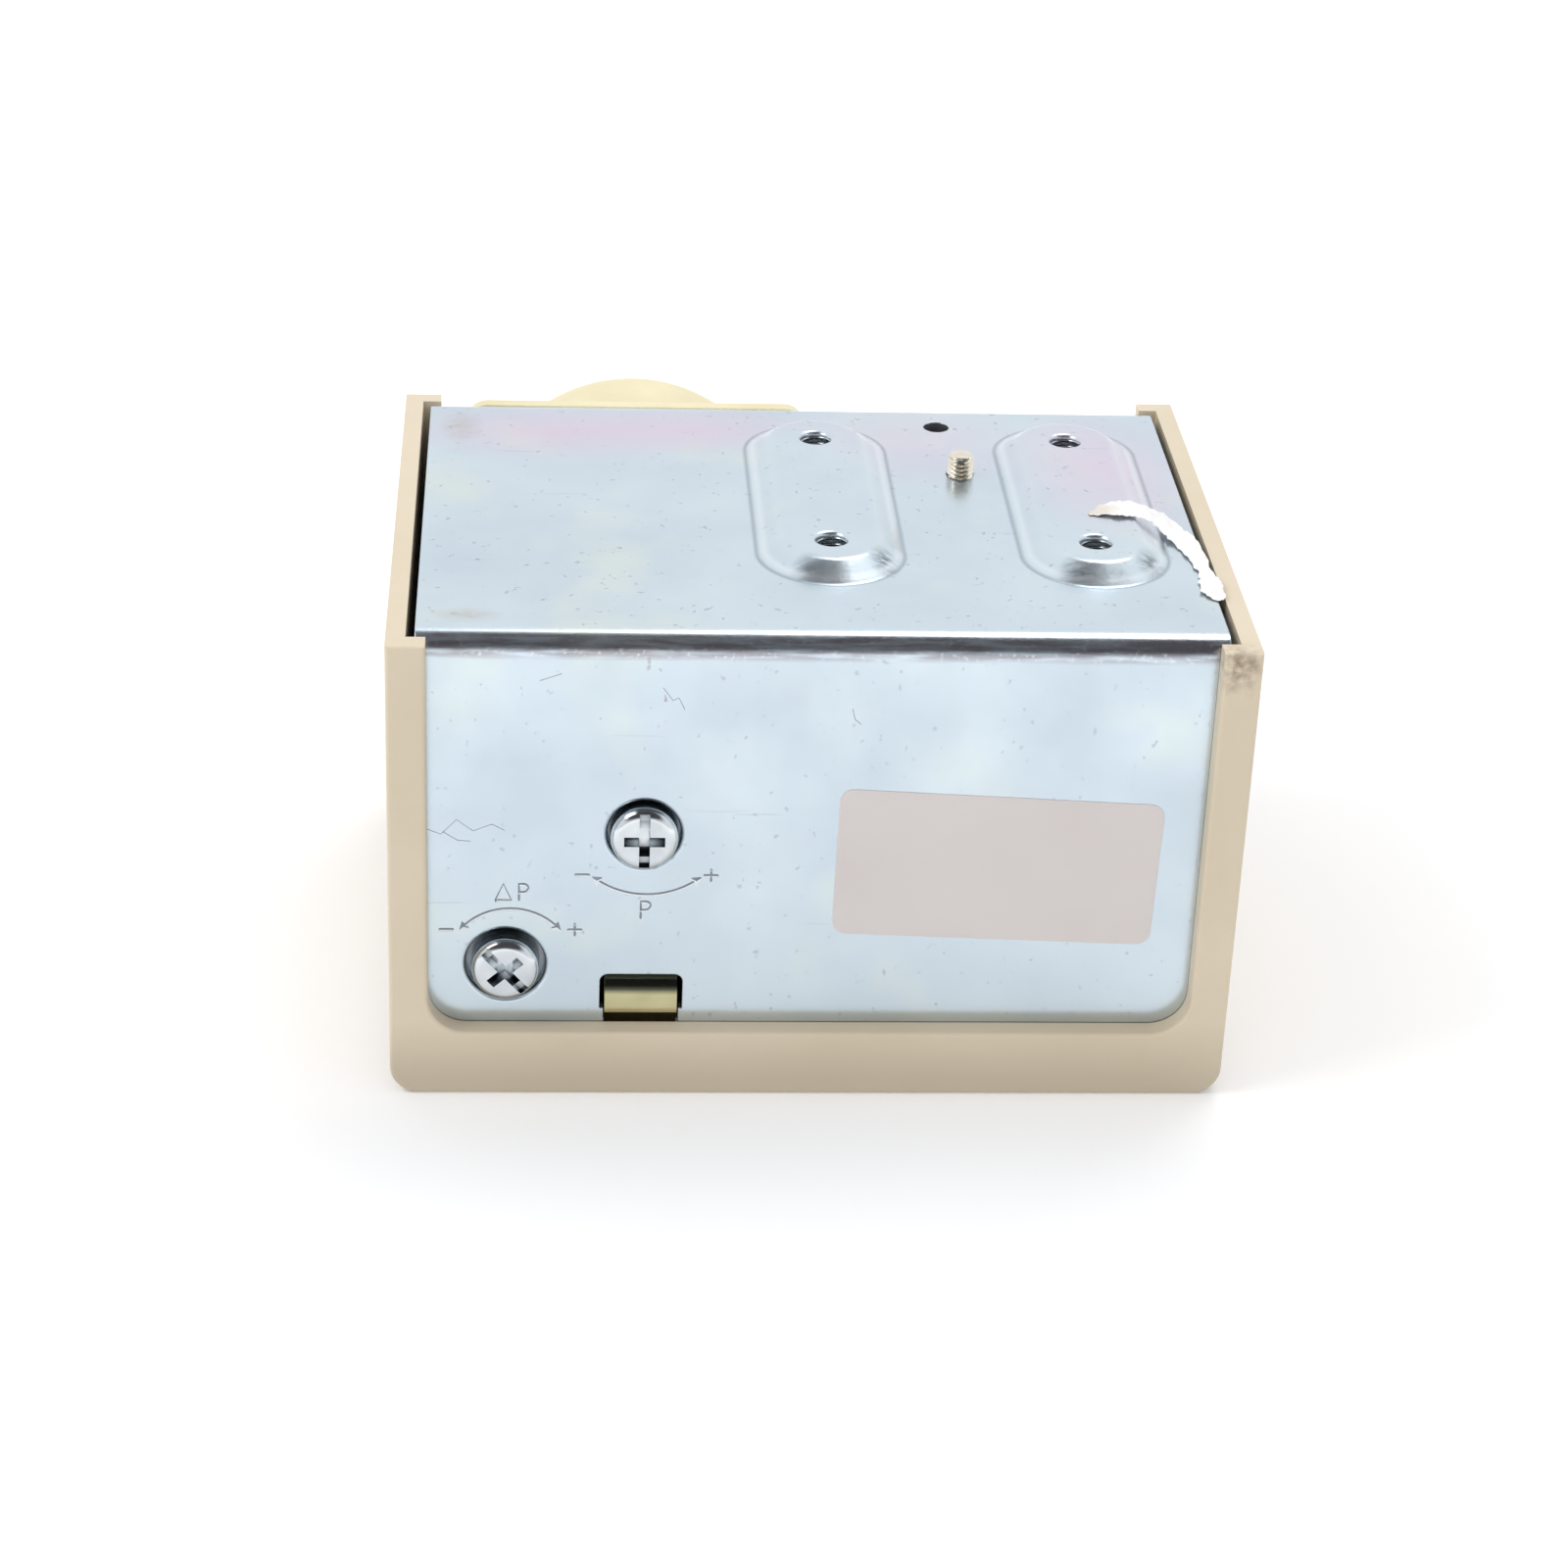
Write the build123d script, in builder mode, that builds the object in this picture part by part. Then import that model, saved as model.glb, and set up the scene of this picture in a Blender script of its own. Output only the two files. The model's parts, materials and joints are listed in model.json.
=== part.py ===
from build123d import *
from math import atan, cos, degrees, sqrt, tan
import os

# A bellows pressure control with two adjusting screws, lying on the front of its cover.
# X runs along the width, Y from the adjusting plate back to the bellows, Z up to the mounting
# plate. The origin is the middle of the cover's front face, and all sizes are millimetres.

# Cover
cover_wall = 2.0
cover_floor = 2.2
lip_thickness = 2.4
lip_width = 4.0
lip_height = 7.4
cover_corner_radius = 3.0
lip_corner_radius = 4.0
cover_edge_radius = 0.4

# Folded steel case
sheet = 1.2
lip_gap = 0.1
case_side_gap = 0.9
case_rise = 0.2
case_floor_gap = 1.0
bend_radius = 2.24
rear_corner_radius = 2.2
rear_corner_height = 3.6

# Embossed mounting pads, each with two flanged tapped holes
pad_pitch = 27.9
pad_hole_pitch = 27.3
pad_side_gap = 3.7
pad_rear_gap = 6.1
pad_base_radius = 7.75
pad_top_radius = 4.9
pad_height = 1.8
pad_edge_radius = 0.9
pad_foot_radius = 0.5
tapped_radius = 1.65
tapped_flange_radius = 2.7
tapped_flange_depth = 1.5
tapped_edge_radius = 0.45
spare_hole_offset = 0.3
spare_hole_rear_gap = 6.1
spare_hole_radius = 1.45

# Fits
seat_gap = 0.02
running_gap = 0.05
sliding_gap = 0.2
contact_gap = 0.05

# Pressure adjusting screw and range spring
range_side_gap = 23.3
range_hole_radius = 3.8
range_thread_radius = 2.5
range_wire_radius = 0.9
range_coil_radius = 6.5
range_coils = 6
range_disc_radius = 8.3

# Differential adjusting screw and spring
diff_side_gap = 9.1
diff_z = 14.3
diff_hole_radius = 4.15
diff_thread_radius = 2.0
diff_wire_radius = 0.55
diff_coil_radius = 4.0
diff_coils = 7
diff_disc_radius = 5.2

# Shared by both adjusting screws, their nuts and spring seats
hole_edge_radius = 0.5
head_radius = 3.5
head_rise = 1.7
head_crown_radius = 1.0
collar_margin = 1.2
collar_thickness = 1.2
cross_width = 1.1
cross_reach = 2.1
cross_depth = 1.9
slot_reach = 3.1
slot_depth = 0.8
diff_head_turn = 42.0
nut_travel = 4.0
nut_front_gap = 10.55
spring_space = 29.5
nut_thickness = 4.0
nut_disc_thickness = 2.0
hub_gap = 0.3
screw_overrun = 2.0
wire_sides = 6
seat_thickness = 1.5
seat_hub_length = 2.0
seat_bore_radius = 1.2
pointer_width = 3.0
pointer_thickness = 1.2
pointer_tip_gap = 1.0

# Scale plate, with a side wall welded to the case and a hook in the notch of the case
scale_sheet = 0.8
scale_level = 5.6
scale_front_gap = 2.45
scale_lever_gap = 9.0
scale_housing_gap = 7.6
scale_side_gap = 0.8
scale_foot_reach = 6.0
scale_fold_radius = 1.2
slot_margin = 0.4
notch_width = 8.7
notch_top = 13.15
notch_corner_radius = 0.9
notch_neck_top = 9.0
notch_neck_width = 7.9
hook_sheet = 0.9
hook_bend_radius = 2.4
hook_top_gap = 0.25
hook_side_gap = 0.55
hook_recess = 0.15
hook_end = 8.4

# Window in the cover
window_setback = 5.0
window_width = 26.0
window_length = 24.0
window_corner_radius = 2.0
window_rebate = 1.6
window_rebate_depth = 1.0
window_recess = 0.5
window_gap = 0.1

# Cover screw
cover_screw_inset = 5.0
cover_screw_setback = 19.1
small_thread_radius = 1.5
cover_screw_head_radius = 2.75
cover_screw_head_height = 1.8
cover_screw_recess = 0.6
cover_boss_radius = 4.6
cover_screw_overrun = 2.4

# Lever, its pin and its bracket
rod_arm = 23.8
pivot_setback = 2.0
pivot_rear_gap = 11.55
lever_side_reach = 10.2
lever_tip_overrun = 3.0
lever_thickness = 2.0
lever_height = 15.6
lever_wing_half_width = 5.2
lever_wing_drop = 5.2
lever_corner_radius = 1.8
lever_ear_radius = 4.0
lever_ear_thickness = 1.6
lever_tip_height = 8.0
pin_radius = 1.5
pin_head_radius = 2.4
pin_head_height = 1.0
bracket_sheet = 1.6
bracket_width = 10.0
rivet_shank_radius = 1.25
rivet_head_radius = 2.2
rivet_head_height = 1.1
rivet_bevel = 0.6
rivet_tail_radius = 1.45
rivet_tail_height = 0.8
bracket_rivet_spacing = 8.0

# Bellows, its cup and flange plate
flange_half_width = 19.4
flange_half_height = 22.0
flange_lip_gap = 0.4
flange_top_gap = 0.5
flange_thickness = 1.5
flange_corner_radius = 2.5
flange_rivet_x = 17.4
flange_rivet_z = 18.8
flange_rivet_head_radius = 2.3
cup_radius = 18.0
cup_length = 20.5
cup_wall = 1.0
cup_nose_radius = 4.0
throat_radius = 9.6
bellows_outer_radius = 14.6
bellows_inner_radius = 10.8
bellows_wall = 0.4
bellows_folds = 5
bellows_fold_pitch = 2.6
end_cap_thickness = 1.6
rod_radius = 3.0
rod_tip_radius = 8.0
rod_stroke = 1.5

# Flare connector
port_hex_across = 14.0
port_hex_length = 6.0
port_thread_radius = 5.55
port_thread_length = 11.0
port_thread_relief = 0.4
port_cone_radius = 3.4
port_bore_radius = 2.2
port_spigot_radius = 4.5

# Switch housing and its contacts
housing_length = 28.0
housing_drop = 7.8
housing_side_gap = 1.7
pivot_housing_gap = 7.6
lever_housing_gap = 6.0
housing_wall = 2.0
housing_floor = 4.0
housing_roof = 5.0
housing_rear_wall = 2.5
housing_edge_radius = 0.8
barrier_thickness = 1.2
barrier_drop = 8.0
lug_side_gap = 3.83
lug_reach = 3.25
lug_height = 5.0
lug_half_width = 3.8
lug_screw_head_radius = 2.7
lug_screw_head_height = 2.2
tip_rise = 2.4
tip_chamfer = 0.4

plunger_side_gap = 5.4
plunger_radius = 2.0
plunger_collar_radius = 3.0
plunger_collar_thickness = 1.0
plunger_end_radius = 6.0
blade_side_gap = 3.0
blade_setback = 6.3
post_side_gap = 4.4
post_extra_pitch = 1.5
blade_thickness = 0.45
blade_width = 6.0
blade_post_radius = 1.0
blade_eye_radius = 1.8
contact_radius = 1.4
contact_height = 0.7
closed_contact_inset = 1.9
terminal_width = 5.0
terminal_sheet = 0.8
terminal_reach = 18.0
terminal_screw_inset = 5.0
terminal_hole_radius = 1.6
terminal_screw_length = 3.5
terminal_head_radius = 2.6
terminal_head_height = 1.8
washer_half_width = 3.0
washer_thickness = 0.7
washer_gap = 0.15

# Cable grommet
grommet_side_gap = 15.1
grommet_z = 24.0
grommet_hole_radius = 6.5
grommet_bore_radius = 4.5
grommet_rim_radius = 8.5
grommet_rim_thickness = 1.6
grommet_groove_gap = 0.05

# Across the housing: the terminals' washers stand between barriers, and the post takes more room
terminal_pitch = 2 * washer_half_width + barrier_thickness + 2 * washer_gap
post_pitch = terminal_pitch + post_extra_pitch
housing_width = blade_side_gap + closed_contact_inset + terminal_pitch + post_pitch + post_side_gap

# Across the width: the axes stand off the left side, and the housing ends at the right side
case_width = range_side_gap + rod_arm + pivot_housing_gap + housing_width + housing_side_gap
cover_width = case_width + 2 * (case_side_gap + cover_wall)
case_side_x = case_width / 2
diff_x = diff_side_gap - case_side_x
range_x = range_side_gap - case_side_x
pivot_x = range_x + rod_arm
housing_left_x = pivot_x + pivot_housing_gap
scale_side_x = scale_side_gap - case_side_x
scale_right_x = housing_left_x - scale_housing_gap
cover_screw_x = scale_right_x - cover_screw_inset
window_x = (range_x + diff_x) / 2
plunger_x = housing_left_x + plunger_side_gap
blade_tip_x = housing_left_x + blade_side_gap
closed_contact_x = blade_tip_x + closed_contact_inset
open_contact_x = closed_contact_x + terminal_pitch
blade_pivot_x = open_contact_x + post_pitch
lug_screw_x = housing_left_x + lug_side_gap
lever_left_x = range_x - lever_side_reach
lever_tip_x = plunger_x + lever_tip_overrun
grommet_x = case_side_x - grommet_side_gap
pad_middle_x = case_side_x - pad_side_gap - pad_base_radius - pad_pitch / 2
spare_hole_x = pad_middle_x + spare_hole_offset

# Up the height: the flange plate stands over the lip, and the back plate just over it
range_z = lip_height + flange_lip_gap + flange_half_height
case_top = range_z + flange_half_height + flange_top_gap
cover_height = case_top - case_rise
inner_top = case_top - sheet
housing_bottom = range_z - housing_drop

# Along the depth: nuts, springs, lever and bracket fill the case from front to rear
inner_depth = (
    nut_front_gap
    + nut_disc_thickness
    + spring_space
    + seat_thickness
    + lever_thickness
    + pivot_setback
    + pivot_rear_gap
)
inner_rear_y = inner_depth / 2
inner_front_y = -inner_rear_y
case_rear_y = inner_rear_y + sheet
case_front_y = -case_rear_y
cover_depth = 2 * (case_rear_y + lip_gap + lip_thickness)
flange_rear_y = case_rear_y + flange_thickness
nut_front_y = inner_front_y + nut_front_gap
nut_rear_y = nut_front_y + nut_thickness
spring_end_y = nut_front_y + nut_disc_thickness + spring_space
lever_front_y = spring_end_y + seat_thickness
lever_rear_y = lever_front_y + lever_thickness
pivot_y = lever_rear_y + pivot_setback
housing_rear_y = lever_front_y - lever_housing_gap
housing_front_y = housing_rear_y - housing_length
lug_screw_y = housing_rear_y + lug_reach
blade_front_y = housing_rear_y - blade_setback
terminal_front_y = housing_rear_y - terminal_reach
terminal_screw_y = terminal_front_y + terminal_screw_inset
scale_front_y = inner_front_y + scale_front_gap
scale_rear_y = lever_front_y - scale_lever_gap
window_y = nut_front_y + window_setback
cover_screw_y = scale_front_y + cover_screw_setback
pad_middle_y = case_rear_y - pad_rear_gap - pad_base_radius - pad_hole_pitch / 2
spare_hole_y = case_rear_y - spare_hole_rear_gap

# Levels that the sizes above give
case_bottom = cover_floor + case_floor_gap
screw_end_y = nut_rear_y + nut_travel + screw_overrun
pad_slope = atan(pad_height / (pad_base_radius - pad_top_radius))
overrun = 1.0
plunger_travel = rod_stroke * (plunger_x - pivot_x) / rod_arm
blade_rear_y = blade_front_y + blade_thickness
blade_middle_y = blade_front_y + blade_thickness / 2
open_travel = plunger_travel * (blade_pivot_x - open_contact_x) / (blade_pivot_x - plunger_x)
housing_roof_z = inner_top - housing_roof
cavity_rear_y = housing_rear_y - housing_rear_wall
floor_top = housing_bottom + housing_floor
cup_rear_y = flange_rear_y + cup_length


def facing(y):
    """Drawing plane square to the depth: width across, height up, extruded toward the front."""
    return Plane((0, y, 0), x_dir=(1, 0, 0), z_dir=(0, -1, 0))


def beside(x, z):
    """Drawing plane through a lengthwise axis: radius across, depth up."""
    return Plane((x, 0, z), x_dir=(1, 0, 0), z_dir=(0, 0, 1))


def lengthwise(x, z):
    """Axis that runs front to back at this width and height."""
    return Axis((x, 0, z), (0, 1, 0))


def finish(piece, label):
    piece.part.label = label
    export_step(piece.part, f"parts/{label}.step")


def folded_form(inset, side_overrun, lower_overrun):
    """The case as a full block with its pads, shrunk by inset on the folded faces."""
    radius_inset = inset * (1 / cos(pad_slope) - 1) / tan(pad_slope)
    top = case_top - inset
    with BuildPart() as form:
        with BuildSketch(Plane.YZ.offset(-case_width / 2 - side_overrun)) as section:
            with Locations((0, case_bottom - lower_overrun)):
                Rectangle(
                    2 * (case_rear_y - inset),
                    top - case_bottom + lower_overrun,
                    align=(Align.CENTER, Align.MIN),
                )
            fillet(section.vertices().group_by(Axis.Y)[-1], bend_radius - inset)
        extrude(amount=case_width + 2 * side_overrun)
        with BuildSketch(Plane.XY.offset(top)):
            with Locations((pad_middle_x, pad_middle_y)):
                with GridLocations(pad_pitch, 1, 2, 1):
                    SlotCenterToCenter(
                        pad_hole_pitch, 2 * (pad_base_radius - radius_inset), rotation=90
                    )
        extrude(amount=pad_height, taper=90 - degrees(pad_slope))
        rims = form.edges().group_by(Axis.Z)[-1]
        fillet(rims, pad_edge_radius)
        span = pad_hole_pitch / 2 + pad_base_radius
        feet = (
            form.edges()
            .filter_by_position(Axis.Z, top - seat_gap, top + seat_gap)
            .filter_by_position(Axis.Y, pad_middle_y - span, pad_middle_y + span)
            .filter_by_position(Axis.X, pad_middle_x - pad_pitch, case_width / 2 - inset - seat_gap)
        )
        fillet(feet, pad_foot_radius)
    return form.part


os.makedirs("parts", exist_ok=True)

# Case: one sheet folded over the front, the back and the rear
case_core = folded_form(sheet, overrun, case_bottom)
case_skin = folded_form(0, 0, 0)
with BuildPart() as case:
    add(case_skin)
    add(case_core, mode=Mode.SUBTRACT)
    # flanges drawn down round the tapped holes
    with BuildSketch(Plane.XY.offset(inner_top + pad_height - tapped_flange_depth)):
        with Locations((pad_middle_x, pad_middle_y)):
            with GridLocations(pad_pitch, pad_hole_pitch, 2, 2):
                Circle(tapped_flange_radius)
    extrude(amount=tapped_flange_depth)
    with BuildSketch(Plane.XY.offset(case_top + pad_height)):
        with Locations((pad_middle_x, pad_middle_y)):
            with GridLocations(pad_pitch, pad_hole_pitch, 2, 2):
                Circle(tapped_radius)
    extrude(amount=-sheet - tapped_flange_depth, mode=Mode.SUBTRACT)
    mouths = case.edges().filter_by(GeomType.CIRCLE).group_by(Axis.Z)[-1]
    fillet(mouths, tapped_edge_radius)
    # back plate holes
    with BuildSketch(Plane.XY.offset(case_top)):
        with Locations((lug_screw_x, lug_screw_y)):
            Circle(small_thread_radius + seat_gap)
        with Locations((spare_hole_x, spare_hole_y)):
            Circle(spare_hole_radius)
    extrude(amount=-sheet, mode=Mode.SUBTRACT)
    # rounded rear corners of the back plate
    with BuildSketch(Plane.XY.offset(case_top - rear_corner_height)):
        with Locations((0, case_rear_y)):
            Rectangle(case_width + 2 * overrun, 2 * rear_corner_radius)
        with Locations((0, case_rear_y - pad_pitch)):
            RectangleRounded(case_width, 2 * pad_pitch, rear_corner_radius, mode=Mode.SUBTRACT)
    extrude(amount=rear_corner_height, mode=Mode.SUBTRACT)
    # holes of the adjusting screws, with their edges punched over
    with BuildSketch(facing(inner_front_y)):
        with Locations((range_x, range_z)):
            Circle(range_hole_radius)
        with Locations((diff_x, diff_z)):
            Circle(diff_hole_radius)
    extrude(amount=sheet, mode=Mode.SUBTRACT)
    rims = case.edges().filter_by(GeomType.CIRCLE).group_by(Axis.Y)[0]
    fillet(rims, hole_edge_radius)
    # notch for the hook of the scale plate, open at the lower edge
    with BuildSketch(facing(inner_front_y)) as notch:
        with Locations((range_x, notch_neck_top)):
            Rectangle(notch_width, notch_top - notch_neck_top, align=(Align.CENTER, Align.MIN))
            fillet(notch.vertices().group_by(Axis.Y)[-1], notch_corner_radius)
            Rectangle(notch_neck_width, notch_neck_top, align=(Align.CENTER, Align.MAX))
    extrude(amount=sheet, mode=Mode.SUBTRACT)
    # rear plate holes
    with BuildSketch(facing(case_rear_y)):
        with Locations((range_x, range_z)):
            Circle(throat_radius)
            with GridLocations(2 * flange_rivet_x, 2 * flange_rivet_z, 2, 2):
                Circle(rivet_shank_radius + seat_gap)
        with Locations((pivot_x, range_z)):
            with GridLocations(1, bracket_rivet_spacing, 1, 2):
                Circle(rivet_shank_radius + seat_gap)
        with Locations((grommet_x, grommet_z)):
            Circle(grommet_hole_radius)
    extrude(amount=sheet, mode=Mode.SUBTRACT)
finish(case, "case")

# Front cover: a moulded channel whose lips overlap the case at both ends
with BuildPart() as front_cover:
    with BuildSketch(facing(cover_depth / 2)) as outline:
        Rectangle(cover_width, cover_height, align=(Align.CENTER, Align.MIN))
        fillet(outline.vertices().group_by(Axis.Y)[0], cover_corner_radius)
    extrude(amount=cover_depth)
    with BuildSketch(facing(cover_depth / 2 - lip_thickness)) as cavity:
        with Locations((0, cover_floor)):
            Rectangle(
                cover_width - 2 * cover_wall, cover_height, align=(Align.CENTER, Align.MIN)
            )
        fillet(cavity.vertices().group_by(Axis.Y)[0], cover_corner_radius - cover_wall)
    extrude(amount=cover_depth - 2 * lip_thickness, mode=Mode.SUBTRACT)
    with BuildSketch(facing(cover_depth / 2)) as mouth:
        with Locations((0, lip_height)):
            Rectangle(cover_width - 2 * lip_width, cover_height, align=(Align.CENTER, Align.MIN))
        fillet(mouth.vertices().group_by(Axis.Y)[0], lip_corner_radius)
    extrude(amount=cover_depth, mode=Mode.SUBTRACT)
    ends = front_cover.faces().filter_by(Axis.Y)
    fillet(
        ends.group_by(Axis.Y)[0].edges() + ends.group_by(Axis.Y)[-1].edges(),
        cover_edge_radius,
    )
    # boss of the cover screw
    with BuildSketch(Plane.XY.offset(cover_floor)):
        with Locations((cover_screw_x, cover_screw_y)):
            Circle(cover_boss_radius)
    extrude(amount=scale_level - seat_gap - cover_floor)
    with Locations(Plane((cover_screw_x, cover_screw_y, 0), z_dir=(0, 0, -1))):
        CounterBoreHole(
            radius=small_thread_radius + sliding_gap,
            counter_bore_radius=cover_screw_head_radius + sliding_gap,
            counter_bore_depth=cover_screw_recess + cover_screw_head_height,
        )
    # window opening with a rebate on the inside
    with BuildSketch():
        with Locations((window_x, window_y)):
            RectangleRounded(window_width, window_length, window_corner_radius)
    extrude(amount=cover_floor, mode=Mode.SUBTRACT)
    with BuildSketch(Plane.XY.offset(cover_floor)):
        with Locations((window_x, window_y)):
            RectangleRounded(
                window_width + 2 * window_rebate,
                window_length + 2 * window_rebate,
                window_corner_radius + window_rebate,
            )
    extrude(amount=-window_rebate_depth, mode=Mode.SUBTRACT)
finish(front_cover, "front_cover")

# Window: a clear pane with a flange that lies in the rebate
with BuildPart() as scale_window:
    with BuildSketch(Plane.XY.offset(window_recess)):
        with Locations((window_x, window_y)):
            RectangleRounded(
                window_width - 2 * window_gap,
                window_length - 2 * window_gap,
                window_corner_radius - window_gap,
            )
    extrude(amount=cover_floor - window_rebate_depth - window_recess)
    with BuildSketch(Plane.XY.offset(cover_floor - window_rebate_depth)):
        with Locations((window_x, window_y)):
            RectangleRounded(
                window_width + 2 * window_rebate - 2 * window_gap,
                window_length + 2 * window_rebate - 2 * window_gap,
                window_corner_radius + window_rebate - window_gap,
            )
    extrude(amount=window_rebate_depth)
finish(scale_window, "scale_window")

# Scale plate: a sheet with a side wall, a foot on the back plate and a hook at the front
scale_length = scale_rear_y - scale_front_y
scale_width = scale_right_x - scale_side_x
hook_width = notch_width - 2 * hook_side_gap
hook_front_y = case_front_y + hook_recess
hook_rear_y = scale_front_y - hook_sheet
hook_top = notch_top - hook_top_gap
with BuildPart() as scale_plate:
    with BuildSketch(facing(scale_rear_y)) as channel:
        with Locations((scale_side_x, scale_level)):
            Rectangle(scale_width, inner_top - scale_level, align=(Align.MIN, Align.MIN))
            fillet(channel.vertices().group_by(Axis.X)[0], scale_fold_radius)
        with BuildSketch(mode=Mode.PRIVATE) as hollow:
            with Locations((scale_side_x + scale_sheet, scale_level + scale_sheet)):
                Rectangle(
                    scale_width,
                    inner_top - scale_level - 2 * scale_sheet,
                    align=(Align.MIN, Align.MIN),
                )
            fillet(hollow.vertices().group_by(Axis.X)[0], scale_fold_radius - scale_sheet)
        add(hollow.sketch, mode=Mode.SUBTRACT)
        with Locations((scale_side_x + scale_foot_reach, inner_top)):
            Rectangle(
                scale_width,
                2 * scale_sheet,
                align=(Align.MIN, Align.CENTER),
                mode=Mode.SUBTRACT,
            )
    extrude(amount=scale_length)
    # hook: up behind the front plate, over and down inside the notch
    with BuildSketch(Plane.YZ.offset(range_x - hook_width / 2)) as hook:
        with Locations((hook_front_y, hook_end)):
            Rectangle(
                scale_front_y - hook_front_y,
                hook_top - hook_end,
                align=(Align.MIN, Align.MIN),
            )
            fillet(hook.vertices().group_by(Axis.Y)[-1].sort_by(Axis.X)[0], hook_bend_radius)
            fillet(hook.vertices().group_by(Axis.Y)[-1].sort_by(Axis.X)[-1], hook_sheet)
        with BuildSketch(mode=Mode.PRIVATE) as hook_gap:
            with Locations((hook_front_y + hook_sheet, hook_top - hook_sheet)):
                Rectangle(
                    hook_rear_y - hook_front_y - hook_sheet,
                    hook_top,
                    align=(Align.MIN, Align.MAX),
                )
            fillet(
                hook_gap.vertices().group_by(Axis.Y)[-1].sort_by(Axis.X)[0],
                hook_bend_radius - hook_sheet,
            )
        add(hook_gap.sketch, mode=Mode.SUBTRACT)
        with Locations((hook_rear_y, scale_level)):
            Rectangle(hook_sheet, hook_end - scale_level, align=(Align.MIN, Align.MIN))
    extrude(amount=hook_width)
    # slots that the pointers run in, and the tapped hole of the cover screw
    slot_length = 2 * nut_travel + pointer_thickness + 2 * slot_margin
    with BuildSketch(Plane.XY.offset(scale_level)):
        for slot_x in (range_x, diff_x):
            with Locations((slot_x, nut_front_y + nut_disc_thickness / 2)):
                RectangleRounded(pointer_width + 2 * slot_margin, slot_length, slot_margin)
        with Locations((cover_screw_x, cover_screw_y)):
            Circle(small_thread_radius + seat_gap)
    extrude(amount=scale_sheet, mode=Mode.SUBTRACT)
finish(scale_plate, "scale_plate")

# Cover screw: it clamps the cover to the scale plate
with BuildPart() as cover_screw:
    with BuildSketch(Plane.XY.offset(cover_screw_recess)):
        with Locations((cover_screw_x, cover_screw_y)):
            Circle(cover_screw_head_radius)
    extrude(amount=cover_screw_head_height)
    with BuildSketch(Plane.XY.offset(cover_screw_recess)):
        with Locations((cover_screw_x, cover_screw_y)):
            Circle(small_thread_radius)
    extrude(amount=scale_level + cover_screw_overrun - cover_screw_recess)
    with BuildSketch(Plane.XY.offset(cover_screw_recess)):
        with Locations((cover_screw_x, cover_screw_y)):
            Rectangle(cross_width, 2 * cross_reach)
            Rectangle(2 * cross_reach, cross_width)
    extrude(amount=cover_screw_head_height / 2, mode=Mode.SUBTRACT)
finish(cover_screw, "cover_screw")


def adjusting_screw(x, z, hole_radius, thread_radius, turn):
    """Cross-headed screw that turns behind the front plate on a collar."""
    front = case_front_y - head_rise
    collar_front = inner_front_y + seat_gap
    collar_rear = collar_front + collar_thickness
    collar_radius = hole_radius + collar_margin
    with BuildPart() as screw:
        with BuildSketch(beside(x, z)):
            with BuildLine():
                Polyline(
                    (0, front),
                    (head_radius, front),
                    (head_radius, collar_front),
                    (collar_radius, collar_front),
                    (collar_radius, collar_rear),
                    (thread_radius, collar_rear),
                    (thread_radius, screw_end_y),
                    (0, screw_end_y),
                    close=True,
                )
            make_face()
        revolve(axis=lengthwise(x, z))
        fillet(screw.edges().group_by(Axis.Y)[0], head_crown_radius)
        with BuildSketch(facing(front)):
            with Locations(Location((x, z), turn)):
                Rectangle(cross_width, 2 * cross_reach)
                Rectangle(2 * cross_reach, cross_width)
        extrude(amount=-cross_depth, mode=Mode.SUBTRACT)
        with BuildSketch(facing(front)):
            with Locations(Location((x, z), turn)):
                Rectangle(cross_width, 2 * slot_reach)
        extrude(amount=-slot_depth, mode=Mode.SUBTRACT)
    return screw


def spring_nut(x, z, thread_radius, disc_radius, hub_radius):
    """Nut that carries the front end of a spring and a pointer that reaches the scale."""
    bore = thread_radius + running_gap
    disc_rear = nut_front_y + nut_disc_thickness
    with BuildPart() as nut:
        with BuildSketch(beside(x, z)):
            with BuildLine():
                Polyline(
                    (bore, nut_front_y),
                    (disc_radius, nut_front_y),
                    (disc_radius, disc_rear),
                    (hub_radius, disc_rear),
                    (hub_radius, nut_rear_y),
                    (bore, nut_rear_y),
                    close=True,
                )
            make_face()
        revolve(axis=lengthwise(x, z))
        with BuildSketch(facing(disc_rear - (nut_disc_thickness - pointer_thickness) / 2)):
            with Locations((x, z - disc_radius + pointer_width / 2)):
                Rectangle(
                    pointer_width,
                    z - disc_radius + pointer_width / 2 - scale_level + pointer_tip_gap,
                    align=(Align.CENTER, Align.MAX),
                )
        extrude(amount=pointer_thickness)
    return nut


def coil_spring(x, z, coil_radius, wire_radius, coils):
    """Spring between the nut and the seat on the lever, its wire drawn with few sides."""
    start = nut_front_y + nut_disc_thickness + wire_radius + seat_gap
    length = spring_end_y - seat_gap - wire_radius - start
    with BuildPart() as spring:
        with BuildLine() as path:
            Helix(
                pitch=length / coils,
                height=length,
                radius=coil_radius,
                center=(x, start, z),
                direction=(0, 1, 0),
            )
        with BuildSketch(Plane(path.line @ 0, z_dir=path.line % 0)):
            RegularPolygon(wire_radius, wire_sides)
        sweep()
    return spring


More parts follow.
